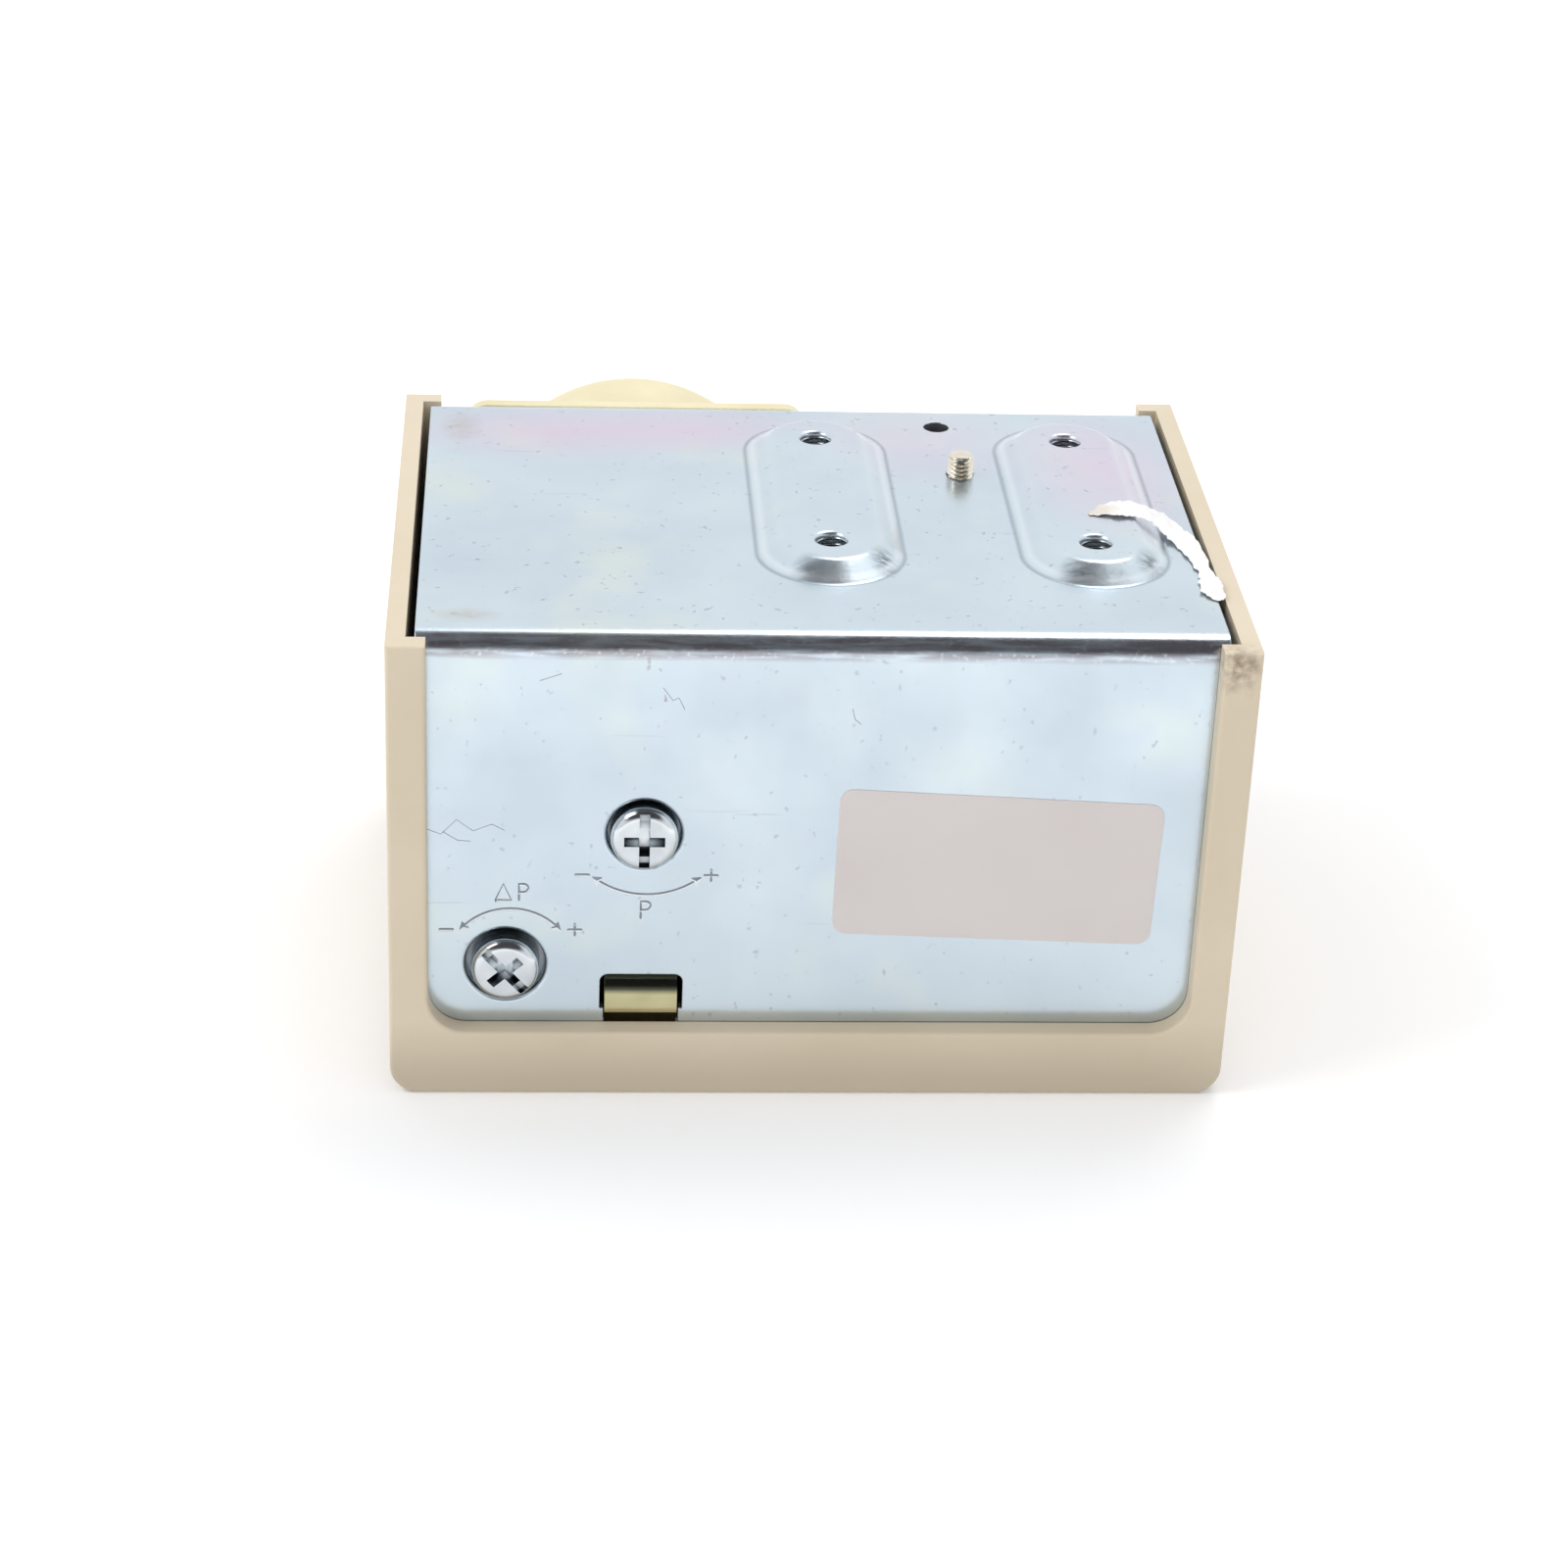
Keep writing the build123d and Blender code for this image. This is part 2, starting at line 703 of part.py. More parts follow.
def spring_seat(x, z, disc_radius, hub_radius):
    """Disc with a hub that centres the rear end of a spring on the lever."""
    with BuildPart() as seat:
        with BuildSketch(facing(lever_front_y)):
            with Locations((x, z)):
                Circle(disc_radius)
        extrude(amount=seat_thickness)
        with BuildSketch(facing(spring_end_y)):
            with Locations((x, z)):
                Circle(hub_radius)
        extrude(amount=seat_hub_length)
        with BuildSketch(facing(lever_front_y)):
            with Locations((x, z)):
                Circle(seat_bore_radius)
        extrude(amount=seat_thickness + seat_hub_length, mode=Mode.SUBTRACT)
    return seat


# The two adjusting sets: screw, nut with pointer, spring and seat
range_hub_radius = range_coil_radius - range_wire_radius - hub_gap
diff_hub_radius = diff_coil_radius - diff_wire_radius - hub_gap
finish(
    adjusting_screw(range_x, range_z, range_hole_radius, range_thread_radius, 0),
    "pressure_adjusting_screw",
)
finish(
    adjusting_screw(diff_x, diff_z, diff_hole_radius, diff_thread_radius, diff_head_turn),
    "diff_adjusting_screw",
)
finish(
    spring_nut(range_x, range_z, range_thread_radius, range_disc_radius, range_hub_radius),
    "range_nut",
)
finish(
    spring_nut(diff_x, diff_z, diff_thread_radius, diff_disc_radius, diff_hub_radius),
    "diff_nut",
)
finish(
    coil_spring(range_x, range_z, range_coil_radius, range_wire_radius, range_coils),
    "range_spring",
)
finish(coil_spring(diff_x, diff_z, diff_coil_radius, diff_wire_radius, diff_coils), "diff_spring")
finish(spring_seat(range_x, range_z, range_disc_radius, range_hub_radius), "range_spring_seat")
finish(spring_seat(diff_x, diff_z, diff_disc_radius, diff_hub_radius), "diff_spring_seat")

# Lever: the springs press on its front, the push rod on its rear
lever_top = range_z + lever_height / 2
lever_low = range_z - lever_height / 2
wing_left_x = diff_x - lever_wing_half_width
wing_low = diff_z - lever_wing_drop
with BuildPart() as main_lever:
    with BuildSketch(facing(lever_rear_y)) as blank:
        with Locations((lever_left_x, range_z)):
            Rectangle(
                pivot_x + lever_ear_radius - lever_left_x,
                lever_height,
                align=(Align.MIN, Align.CENTER),
            )
        with Locations((wing_left_x, wing_low)):
            Rectangle(
                2 * lever_wing_half_width,
                range_z - wing_low,
                align=(Align.MIN, Align.MIN),
            )
        with Locations((pivot_x, range_z)):
            Rectangle(lever_tip_x - pivot_x, lever_tip_height, align=(Align.MIN, Align.CENTER))
        fillet(blank.vertices(), lever_corner_radius)
    extrude(amount=lever_thickness)
    # ears folded back round the pin
    for ear_low in (lever_low, lever_top - lever_ear_thickness):
        with BuildSketch(Plane.XY.offset(ear_low)):
            with Locations((pivot_x, lever_front_y)):
                Rectangle(
                    2 * lever_ear_radius,
                    pivot_y - lever_front_y,
                    align=(Align.CENTER, Align.MIN),
                )
            with Locations((pivot_x, pivot_y)):
                Circle(lever_ear_radius)
        extrude(amount=lever_ear_thickness)
    with BuildSketch(Plane.XY.offset(lever_low)):
        with Locations((pivot_x, pivot_y)):
            Circle(pin_radius + running_gap)
    extrude(amount=lever_height, mode=Mode.SUBTRACT)
finish(main_lever, "main_lever")

# Bracket on the rear plate that carries the lever's pin
bracket_half_height = lever_height / 2 + sliding_gap + bracket_sheet
with BuildPart() as lever_bracket:
    with BuildSketch(Plane.XY.offset(range_z - bracket_half_height)):
        with Locations((pivot_x, pivot_y)):
            Circle(bracket_width / 2)
            Rectangle(bracket_width, inner_rear_y - pivot_y, align=(Align.CENTER, Align.MIN))
    extrude(amount=2 * bracket_half_height)
    with BuildSketch(facing(inner_rear_y - bracket_sheet)):
        with Locations((pivot_x, range_z)):
            Rectangle(bracket_width, 2 * (bracket_half_height - bracket_sheet))
    extrude(amount=inner_rear_y - pivot_y + bracket_width, mode=Mode.SUBTRACT)
    with BuildSketch(Plane.XY.offset(range_z - bracket_half_height)):
        with Locations((pivot_x, pivot_y)):
            Circle(pin_radius + seat_gap)
    extrude(amount=2 * bracket_half_height, mode=Mode.SUBTRACT)
    with BuildSketch(facing(inner_rear_y)):
        with Locations((pivot_x, range_z)):
            with GridLocations(1, bracket_rivet_spacing, 1, 2):
                Circle(rivet_shank_radius + seat_gap)
    extrude(amount=bracket_sheet, mode=Mode.SUBTRACT)
finish(lever_bracket, "lever_bracket")

with BuildPart() as lever_pin:
    with BuildSketch(Plane.XY.offset(range_z - bracket_half_height - bracket_sheet / 2)):
        with Locations((pivot_x, pivot_y)):
            Circle(pin_radius)
    extrude(amount=2 * bracket_half_height + bracket_sheet / 2)
    with BuildSketch(Plane.XY.offset(range_z + bracket_half_height)):
        with Locations((pivot_x, pivot_y)):
            Circle(pin_head_radius)
    extrude(amount=pin_head_height)
    fillet(lever_pin.edges().group_by(Axis.Z)[-1], pin_head_height / 2)
finish(lever_pin, "lever_pin")


def rivet_group(x, z, spacing_x, spacing_z, count_x, grip_front, grip_rear, head):
    """Rivets with bevelled heads behind the rear plate and small set tails in front."""
    with BuildPart() as rivets:
        for plane_y, radius, length in (
            (grip_front, rivet_tail_radius, rivet_tail_height),
            (grip_rear, rivet_shank_radius, grip_rear - grip_front),
            (grip_rear + rivet_head_height, head, rivet_head_height),
        ):
            with BuildSketch(facing(plane_y)):
                with Locations((x, z)):
                    with GridLocations(spacing_x, spacing_z, count_x, 2):
                        Circle(radius)
            extrude(amount=length)
        chamfer(rivets.edges().group_by(Axis.Y)[-1], rivet_bevel)
    return rivets


finish(
    rivet_group(
        pivot_x,
        range_z,
        1,
        bracket_rivet_spacing,
        1,
        inner_rear_y - bracket_sheet,
        case_rear_y,
        rivet_head_radius,
    ),
    "bracket_rivets",
)
finish(
    rivet_group(
        range_x,
        range_z,
        2 * flange_rivet_x,
        2 * flange_rivet_z,
        2,
        inner_rear_y,
        flange_rear_y,
        flange_rivet_head_radius,
    ),
    "flange_rivets",
)

# Bellows flange plate on the rear of the case
with BuildPart() as bellows_flange_plate:
    with BuildSketch(facing(flange_rear_y)):
        with Locations((range_x, range_z)):
            RectangleRounded(2 * flange_half_width, 2 * flange_half_height, flange_corner_radius)
            Circle(throat_radius, mode=Mode.SUBTRACT)
            with GridLocations(2 * flange_rivet_x, 2 * flange_rivet_z, 2, 2):
                Circle(rivet_shank_radius + seat_gap, mode=Mode.SUBTRACT)
    extrude(amount=flange_thickness)
finish(bellows_flange_plate, "bellows_flange_plate")

# Bellows cup: deep-drawn, with the hole of the connector in its nose
with BuildPart() as bellows_cup:
    with BuildSketch(beside(range_x, range_z)) as wall:
        with BuildLine():
            Polyline(
                (cup_radius, flange_rear_y),
                (cup_radius, cup_rear_y),
                (port_spigot_radius + seat_gap, cup_rear_y),
                (port_spigot_radius + seat_gap, cup_rear_y - cup_wall),
                (cup_radius - cup_wall, cup_rear_y - cup_wall),
                (cup_radius - cup_wall, flange_rear_y),
                close=True,
            )
        make_face()
        fillet(wall.vertices().sort_by_distance((cup_radius, cup_rear_y))[0], cup_nose_radius)
        fillet(
            wall.vertices().sort_by_distance(
                (cup_radius - cup_wall, cup_rear_y - cup_wall)
            )[0],
            cup_nose_radius - cup_wall,
        )
    revolve(axis=lengthwise(range_x, range_z))
finish(bellows_cup, "bellows_cup")

# Bellows: a folded tube, open at the flange plate and closed by a cap at the rear
bellows_end_y = flange_rear_y + bellows_folds * bellows_fold_pitch
fold_rise = bellows_fold_pitch / 2
fold_reach = bellows_outer_radius - bellows_inner_radius
wall_across = bellows_wall * sqrt(fold_reach**2 + fold_rise**2) / fold_rise
folds = [
    (
        bellows_inner_radius if step % 2 else bellows_outer_radius,
        flange_rear_y + step * fold_rise,
    )
    for step in range(2 * bellows_folds + 1)
]
with BuildPart() as bellows:
    with BuildSketch(beside(range_x, range_z)):
        for inset, mode in ((0, Mode.ADD), (wall_across, Mode.SUBTRACT)):
            with BuildLine():
                Polyline(
                    (0, flange_rear_y),
                    *[(radius - inset, y) for radius, y in folds],
                    (0, bellows_end_y),
                    close=True,
                )
            make_face(mode=mode)
    revolve(axis=lengthwise(range_x, range_z))
finish(bellows, "bellows")

with BuildPart() as bellows_end_cap:
    with BuildSketch(facing(bellows_end_y + end_cap_thickness)):
        with Locations((range_x, range_z)):
            Circle(bellows_outer_radius)
    extrude(amount=end_cap_thickness)
finish(bellows_end_cap, "bellows_end_cap")

# Push rod from the cap to the lever, with a rounded tip
rod_tip_y = lever_rear_y + contact_gap
rod_tip_drop = rod_tip_radius - sqrt(rod_tip_radius**2 - rod_radius**2)
with BuildPart() as push_rod:
    with BuildSketch(beside(range_x, range_z)):
        with BuildLine():
            tip = RadiusArc((0, rod_tip_y), (rod_radius, rod_tip_y + rod_tip_drop), -rod_tip_radius)
            Polyline(tip @ 1, (rod_radius, bellows_end_y), (0, bellows_end_y), tip @ 0)
        make_face()
    revolve(axis=lengthwise(range_x, range_z))
finish(push_rod, "push_rod")

# Flare connector in the nose of the cup
port_thread_y = cup_rear_y + port_hex_length
port_cone_y = port_thread_y + port_thread_length
port_neck_radius = port_thread_radius - port_thread_relief
port_end_y = port_cone_y + port_neck_radius - port_cone_radius
with BuildPart() as flare_connector:
    with BuildSketch(facing(port_thread_y)):
        with Locations((range_x, range_z)):
            RegularPolygon(port_hex_across / 2, 6, major_radius=False)
    extrude(amount=port_hex_length)
    with BuildSketch(beside(range_x, range_z)):
        with BuildLine():
            Polyline(
                (0, cup_rear_y - cup_wall),
                (port_spigot_radius, cup_rear_y - cup_wall),
                (port_spigot_radius, port_thread_y),
                (port_thread_radius, port_thread_y),
                (port_thread_radius, port_cone_y),
                (port_neck_radius, port_cone_y),
                (port_cone_radius, port_end_y),
                (0, port_end_y),
                close=True,
            )
        make_face()
    revolve(axis=lengthwise(range_x, range_z))
    with BuildSketch(facing(port_end_y)):
        with Locations((range_x, range_z)):
            Circle(port_bore_radius)
    extrude(amount=port_end_y - cup_rear_y + cup_wall, mode=Mode.SUBTRACT)
finish(flare_connector, "flare_connector")

# Where each terminal stands: width, and the front of its stem
closed_stem_y = blade_front_y - 2 * contact_height - contact_gap - terminal_sheet
open_stem_y = blade_rear_y + 2 * contact_height + open_travel + contact_gap
stem_top = range_z + blade_width / 2

# Switch housing on the back plate, open toward the lever's side
bays = (closed_contact_x, open_contact_x, blade_pivot_x)
with BuildPart() as switch_housing:
    with BuildSketch(Plane.XY.offset(housing_bottom)):
        with Locations((housing_left_x, housing_front_y)):
            Rectangle(housing_width, housing_length, align=(Align.MIN, Align.MIN))
    extrude(amount=inner_top - housing_bottom)
    fillet(switch_housing.edges().filter_by(Axis.Z), housing_edge_radius)
    # cavity of the contacts
    with BuildSketch(Plane.XY.offset(floor_top)):
        with Locations((housing_left_x, housing_front_y + housing_wall)):
            Rectangle(
                housing_width - housing_wall,
                cavity_rear_y - housing_front_y - housing_wall,
                align=(Align.MIN, Align.MIN),
            )
    extrude(amount=housing_roof_z - floor_top, mode=Mode.SUBTRACT)
    # lug of the fastening screw
    with BuildSketch(Plane.XY.offset(inner_top - lug_height)):
        with Locations((lug_screw_x, lug_screw_y)):
            Circle(lug_half_width)
            Rectangle(
                2 * lug_half_width,
                lug_screw_y - housing_rear_y,
                align=(Align.CENTER, Align.MAX),
            )
    extrude(amount=lug_height)
    with BuildSketch(Plane.XY.offset(inner_top - lug_height)):
        with Locations((lug_screw_x, lug_screw_y)):
            Circle(small_thread_radius + running_gap)
    extrude(amount=lug_height, mode=Mode.SUBTRACT)
    # barriers between the terminals
    with BuildSketch(Plane.XY.offset(housing_bottom - barrier_drop)):
        for left, right in zip(bays, bays[1:]):
            with Locations(((left + right) / 2, housing_rear_y)):
                Rectangle(
                    barrier_thickness,
                    housing_rear_y - terminal_front_y + barrier_thickness,
                    align=(Align.CENTER, Align.MAX),
                )
    extrude(amount=barrier_drop)
    # plunger bore
    with BuildSketch(facing(housing_rear_y)):
        with Locations((plunger_x, range_z)):
            Circle(plunger_radius + running_gap)
    extrude(amount=housing_rear_wall, mode=Mode.SUBTRACT)
    # slots of the terminal stems, the post's hole and the screw bores
    with BuildSketch(Plane.XY.offset(housing_bottom)):
        for stem_x, stem_y in ((closed_contact_x, closed_stem_y), (open_contact_x, open_stem_y)):
            with Locations((stem_x, stem_y - seat_gap)):
                Rectangle(
                    terminal_width + 2 * seat_gap,
                    terminal_sheet + 2 * seat_gap,
                    align=(Align.CENTER, Align.MIN),
                )
        with Locations((blade_pivot_x, blade_middle_y)):
            Circle(blade_post_radius + seat_gap)
    extrude(amount=housing_floor, mode=Mode.SUBTRACT)
    with BuildSketch(Plane.XY.offset(housing_bottom)):
        for bay_x in bays:
            with Locations((bay_x, terminal_screw_y)):
                Circle(small_thread_radius + seat_gap)
    extrude(amount=terminal_screw_length + seat_gap, mode=Mode.SUBTRACT)
finish(switch_housing, "switch_housing")

# Screw of the housing, whose tip stands out of the back plate
lug_bottom = inner_top - lug_height
tip_top = case_top + tip_rise
with BuildPart() as housing_screw:
    with BuildSketch(Plane.XY.offset(lug_bottom - lug_screw_head_height)):
        with Locations((lug_screw_x, lug_screw_y)):
            Circle(lug_screw_head_radius)
    extrude(amount=lug_screw_head_height)
    with BuildSketch(Plane.XY.offset(lug_bottom)):
        with Locations((lug_screw_x, lug_screw_y)):
            Circle(small_thread_radius)
    extrude(amount=tip_top - lug_bottom)
    chamfer(housing_screw.edges().group_by(Axis.Z)[-1], tip_chamfer)
    with BuildSketch(Plane.XY.offset(lug_bottom - lug_screw_head_height)):
        with Locations((lug_screw_x, lug_screw_y)):
            Rectangle(cross_width, 2 * cross_reach)
            Rectangle(2 * cross_reach, cross_width)
    extrude(amount=lug_screw_head_height / 2, mode=Mode.SUBTRACT)
finish(housing_screw, "housing_screw")

# Plunger between the lever's tip and the contact blade
plunger_front_y = blade_rear_y + contact_gap
plunger_rear_y = lever_front_y - contact_gap
plunger_drop = plunger_end_radius - sqrt(plunger_end_radius**2 - plunger_radius**2)
collar_rear_y = cavity_rear_y - plunger_travel - sliding_gap
collar_front_y = collar_rear_y - plunger_collar_thickness
with BuildPart() as switch_plunger:
    with BuildSketch(beside(plunger_x, range_z)):
        with BuildLine():
            front_end = RadiusArc(
                (0, plunger_front_y),
                (plunger_radius, plunger_front_y + plunger_drop),
                -plunger_end_radius,
            )
            rear_end = RadiusArc(
                (plunger_radius, plunger_rear_y - plunger_drop),
                (0, plunger_rear_y),
                -plunger_end_radius,
            )
            Polyline(
                front_end @ 1,
                (plunger_radius, collar_front_y),
                (plunger_collar_radius, collar_front_y),
                (plunger_collar_radius, collar_rear_y),
                (plunger_radius, collar_rear_y),
                rear_end @ 0,
            )
            Line(rear_end @ 1, front_end @ 0)
        make_face()
    revolve(axis=lengthwise(plunger_x, range_z))
finish(switch_plunger, "switch_plunger")

# Contact blade with a rolled eye round the post of the common terminal
blade_low = range_z - blade_width / 2
with BuildPart() as contact_blade:
    with BuildSketch(Plane.XY.offset(blade_low)):
        with Locations((blade_tip_x, blade_front_y)):
            Rectangle(blade_pivot_x - blade_tip_x, blade_thickness, align=(Align.MIN, Align.MIN))
        with Locations((blade_pivot_x, blade_middle_y)):
            Circle(blade_eye_radius)
            Circle(blade_post_radius + running_gap, mode=Mode.SUBTRACT)
    extrude(amount=blade_width)
    for button_x, button_y in (
        (closed_contact_x, blade_front_y),
        (open_contact_x, blade_rear_y + contact_height),
    ):
        with BuildSketch(facing(button_y)):
            with Locations((button_x, range_z)):
                Circle(contact_radius)
        extrude(amount=contact_height)
finish(contact_blade, "contact_blade")


def stemmed_terminal(x, stem_y, button_front_y):
    """Terminal tab under the housing floor, with a stem that carries a fixed contact."""
    with BuildPart() as terminal:
        with BuildSketch(Plane.XY.offset(housing_bottom - terminal_sheet)):
            with Locations((x, terminal_front_y)):
                Rectangle(
                    terminal_width,
                    stem_y + terminal_sheet - terminal_front_y,
                    align=(Align.CENTER, Align.MIN),
                )
            with Locations((x, terminal_screw_y)):
                Circle(terminal_hole_radius, mode=Mode.SUBTRACT)
        extrude(amount=terminal_sheet)
        with BuildSketch(Plane.XY.offset(housing_bottom - terminal_sheet)):
            with Locations((x, stem_y)):
                Rectangle(terminal_width, terminal_sheet, align=(Align.CENTER, Align.MIN))
        extrude(amount=stem_top - housing_bottom + terminal_sheet)
        with BuildSketch(facing(button_front_y + contact_height)):
            with Locations((x, range_z)):
                Circle(contact_radius)
        extrude(amount=contact_height)
    return terminal


finish(
    stemmed_terminal(closed_contact_x, closed_stem_y, closed_stem_y + terminal_sheet),
    "terminal_closed_contact",
)
finish(
    stemmed_terminal(open_contact_x, open_stem_y, open_stem_y - contact_height),
    "terminal_open_contact",
)

# Common terminal with the post that the blade turns on
with BuildPart() as terminal_common:
    with BuildSketch(Plane.XY.offset(housing_bottom - terminal_sheet)):
        with Locations((blade_pivot_x, terminal_front_y)):
            Rectangle(
                terminal_width,
                blade_middle_y + blade_eye_radius - terminal_front_y,
                align=(Align.CENTER, Align.MIN),
            )
        with Locations((blade_pivot_x, terminal_screw_y)):
            Circle(terminal_hole_radius, mode=Mode.SUBTRACT)
    extrude(amount=terminal_sheet)
    with BuildSketch(Plane.XY.offset(housing_bottom)):
        with Locations((blade_pivot_x, blade_middle_y)):
            Circle(blade_post_radius)
    extrude(amount=stem_top + contact_height - housing_bottom)
finish(terminal_common, "terminal_common")

# Terminal screws and their square washers
washer_top = housing_bottom - terminal_sheet
head_top = washer_top - washer_thickness
with BuildPart() as terminal_washers:
    with BuildSketch(Plane.XY.offset(head_top)):
        for bay_x in bays:
            with Locations((bay_x, terminal_screw_y)):
                Rectangle(2 * washer_half_width, 2 * washer_half_width)
                Circle(terminal_hole_radius, mode=Mode.SUBTRACT)
    extrude(amount=washer_thickness)
finish(terminal_washers, "terminal_washers")

with BuildPart() as terminal_screws:
    with BuildSketch(Plane.XY.offset(head_top - terminal_head_height)):
        for bay_x in bays:
            with Locations((bay_x, terminal_screw_y)):
                Circle(terminal_head_radius)
    extrude(amount=terminal_head_height)
    with BuildSketch(Plane.XY.offset(head_top)):
        for bay_x in bays:
            with Locations((bay_x, terminal_screw_y)):
                Circle(small_thread_radius)
    extrude(amount=housing_bottom + terminal_screw_length - head_top)
    with BuildSketch(Plane.XY.offset(head_top - terminal_head_height)):
        for bay_x in bays:
            with Locations((bay_x, terminal_screw_y)):
                Rectangle(cross_width, 2 * cross_reach)
    extrude(amount=terminal_head_height / 2, mode=Mode.SUBTRACT)
finish(terminal_screws, "terminal_screws")

# Rubber grommet of the cable entry in the rear plate
groove_radius = grommet_hole_radius - grommet_groove_gap
with BuildPart() as cable_grommet:
    with BuildSketch(beside(grommet_x, grommet_z)):
        with BuildLine():
            Polyline(
                (grommet_bore_radius, inner_rear_y - grommet_rim_thickness),
                (grommet_rim_radius, inner_rear_y - grommet_rim_thickness),
                (grommet_rim_radius, inner_rear_y),
                (groove_radius, inner_rear_y),
                (groove_radius, case_rear_y),
                (grommet_rim_radius, case_rear_y),
                (grommet_rim_radius, case_rear_y + grommet_rim_thickness),
                (grommet_bore_radius, case_rear_y + grommet_rim_thickness),
                close=True,
            )
        make_face()
    revolve(axis=lengthwise(grommet_x, grommet_z))
finish(cable_grommet, "cable_grommet")
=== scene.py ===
# %% [markdown]
# # A pressure switch in its folded steel case
#
# The solids of the switch come in from the imported frame, already in their right places. This
# lesson gives each of them its real finish, and adds what is too fine for the solids: screw
# threads, stamped marks, a label, a scrap of film and the scale under the window. The springs and
# the bellows, which give way when the switch works, are made anew.

import json
from math import ceil, cos, pi, radians, sin

import bmesh
import bpy
from mathutils import Matrix, Vector, noise


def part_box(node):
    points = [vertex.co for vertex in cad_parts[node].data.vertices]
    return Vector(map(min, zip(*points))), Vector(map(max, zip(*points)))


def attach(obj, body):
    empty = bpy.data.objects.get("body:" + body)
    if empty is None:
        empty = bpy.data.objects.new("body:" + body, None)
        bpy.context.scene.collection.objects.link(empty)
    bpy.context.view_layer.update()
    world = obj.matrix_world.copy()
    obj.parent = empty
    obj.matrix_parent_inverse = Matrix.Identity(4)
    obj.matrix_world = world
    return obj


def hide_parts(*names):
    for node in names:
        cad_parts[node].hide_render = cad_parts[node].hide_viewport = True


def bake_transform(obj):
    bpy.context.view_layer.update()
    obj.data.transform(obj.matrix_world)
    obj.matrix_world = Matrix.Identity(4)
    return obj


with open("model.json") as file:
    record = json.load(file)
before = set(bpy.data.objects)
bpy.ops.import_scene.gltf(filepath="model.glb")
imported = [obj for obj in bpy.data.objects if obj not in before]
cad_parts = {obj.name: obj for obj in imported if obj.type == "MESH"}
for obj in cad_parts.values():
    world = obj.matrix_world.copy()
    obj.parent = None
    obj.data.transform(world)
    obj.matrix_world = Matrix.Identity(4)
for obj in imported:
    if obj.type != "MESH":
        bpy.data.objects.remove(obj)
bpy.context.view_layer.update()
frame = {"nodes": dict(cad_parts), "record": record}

# %% [markdown]
# ## Small helpers
#
# The details of this object are a few millimetres in size, so lengths are written in millimetres
# and multiplied by MM where Blender takes metres. Colours are written as on a colour chart, in
# sRGB, and the shaders want linear light. One function adds a node of any kind, which keeps the
# node trees short, and one makes a mesh whose faces look outwards.

# %% Helpers
MM = 0.001
ROOT = "switch_body"


def colour(code):
    """A chart colour such as #C9D6E2, as linear light."""
    parts = [int(code[i : i + 2], 16) / 255 for i in (1, 3, 5)]
    linear = [c / 12.92 if c <= 0.04045 else ((c + 0.055) / 1.055) ** 2.4 for c in parts]
    return (*linear, 1.0)


def add(tree, kind, feeds=None, **settings):
    """Adds a node with its settings, and feeds its sockets with values or other sockets."""
    made = tree.nodes.new(kind)
    for name, value in settings.items():
        setattr(made, name, value)
    for socket, value in (feeds or {}).items():
        if isinstance(value, bpy.types.NodeSocket):
            tree.links.new(value, made.inputs[socket])
        else:
            made.inputs[socket].default_value = value
    return made


def emptied(owner):
    """The node tree of a material or a world, with nothing in it."""
    owner.use_nodes = True
    owner.node_tree.nodes.clear()
    return owner.node_tree


def placed(name, data):
    """An object made from a mesh, a lamp or a camera, and put in the scene."""
    made = bpy.data.objects.new(name, data)
    bpy.context.scene.collection.objects.link(made)
    return made


def face_outwards(mesh, smooth=False, weld=0.0):
    """Turns all faces outwards, and first joins points that are closer than weld, in metres."""
    work = bmesh.new()
    work.from_mesh(mesh)
    if weld:
        bmesh.ops.remove_doubles(work, verts=work.verts, dist=weld)
    bmesh.ops.recalc_face_normals(work, faces=work.faces)
    work.to_mesh(mesh)
    work.free()
    mesh.polygons.foreach_set("use_smooth", [smooth] * len(mesh.polygons))


def piece(name, verts, faces, material):
    """A mesh piece from points in millimetres, which rides on the body of the switch."""
    mesh = bpy.data.meshes.new(name)
    mesh.from_pydata([Vector(v) * MM for v in verts], [], faces)
    mesh.materials.append(material)
    face_outwards(mesh)
    made = placed(name, mesh)
    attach(made, ROOT)
    return made


print("helpers ready")

# %% [markdown]
# ## The studio
#
# The camera stands in front, a little to the left, and looks down by 28 degrees. Its place, its
# turn and its lens come from fitting the corners and holes of the switch to the photograph.

# %% Camera
camera_place = Vector((-28.8, -371.45, 216.2)) * MM
camera_down = radians(27.84)
camera_turn = radians(-4.22)
camera_roll = radians(2.37)
photo_side = 1600
focal_pixels = 3862
ahead = Vector(
    (-sin(camera_turn) * cos(camera_down), cos(camera_turn) * cos(camera_down), -sin(camera_down))
)
level = Vector((cos(camera_turn), sin(camera_turn), 0))
above = level.cross(ahead)
right = level * cos(camera_roll) + above * sin(camera_roll)
up = above * cos(camera_roll) - level * sin(camera_roll)
full_frame = 36
lens = bpy.data.cameras.new("camera")
lens.sensor_width = full_frame
lens.lens = focal_pixels / photo_side * lens.sensor_width
camera = placed("camera", lens)
facing = Matrix((right, up, -ahead)).transposed().to_4x4()
camera.matrix_world = Matrix.Translation(camera_place) @ facing
bpy.context.scene.camera = camera
bpy.context.scene.view_settings.view_transform = "Standard"
print("lens", round(lens.lens, 1), "mm")
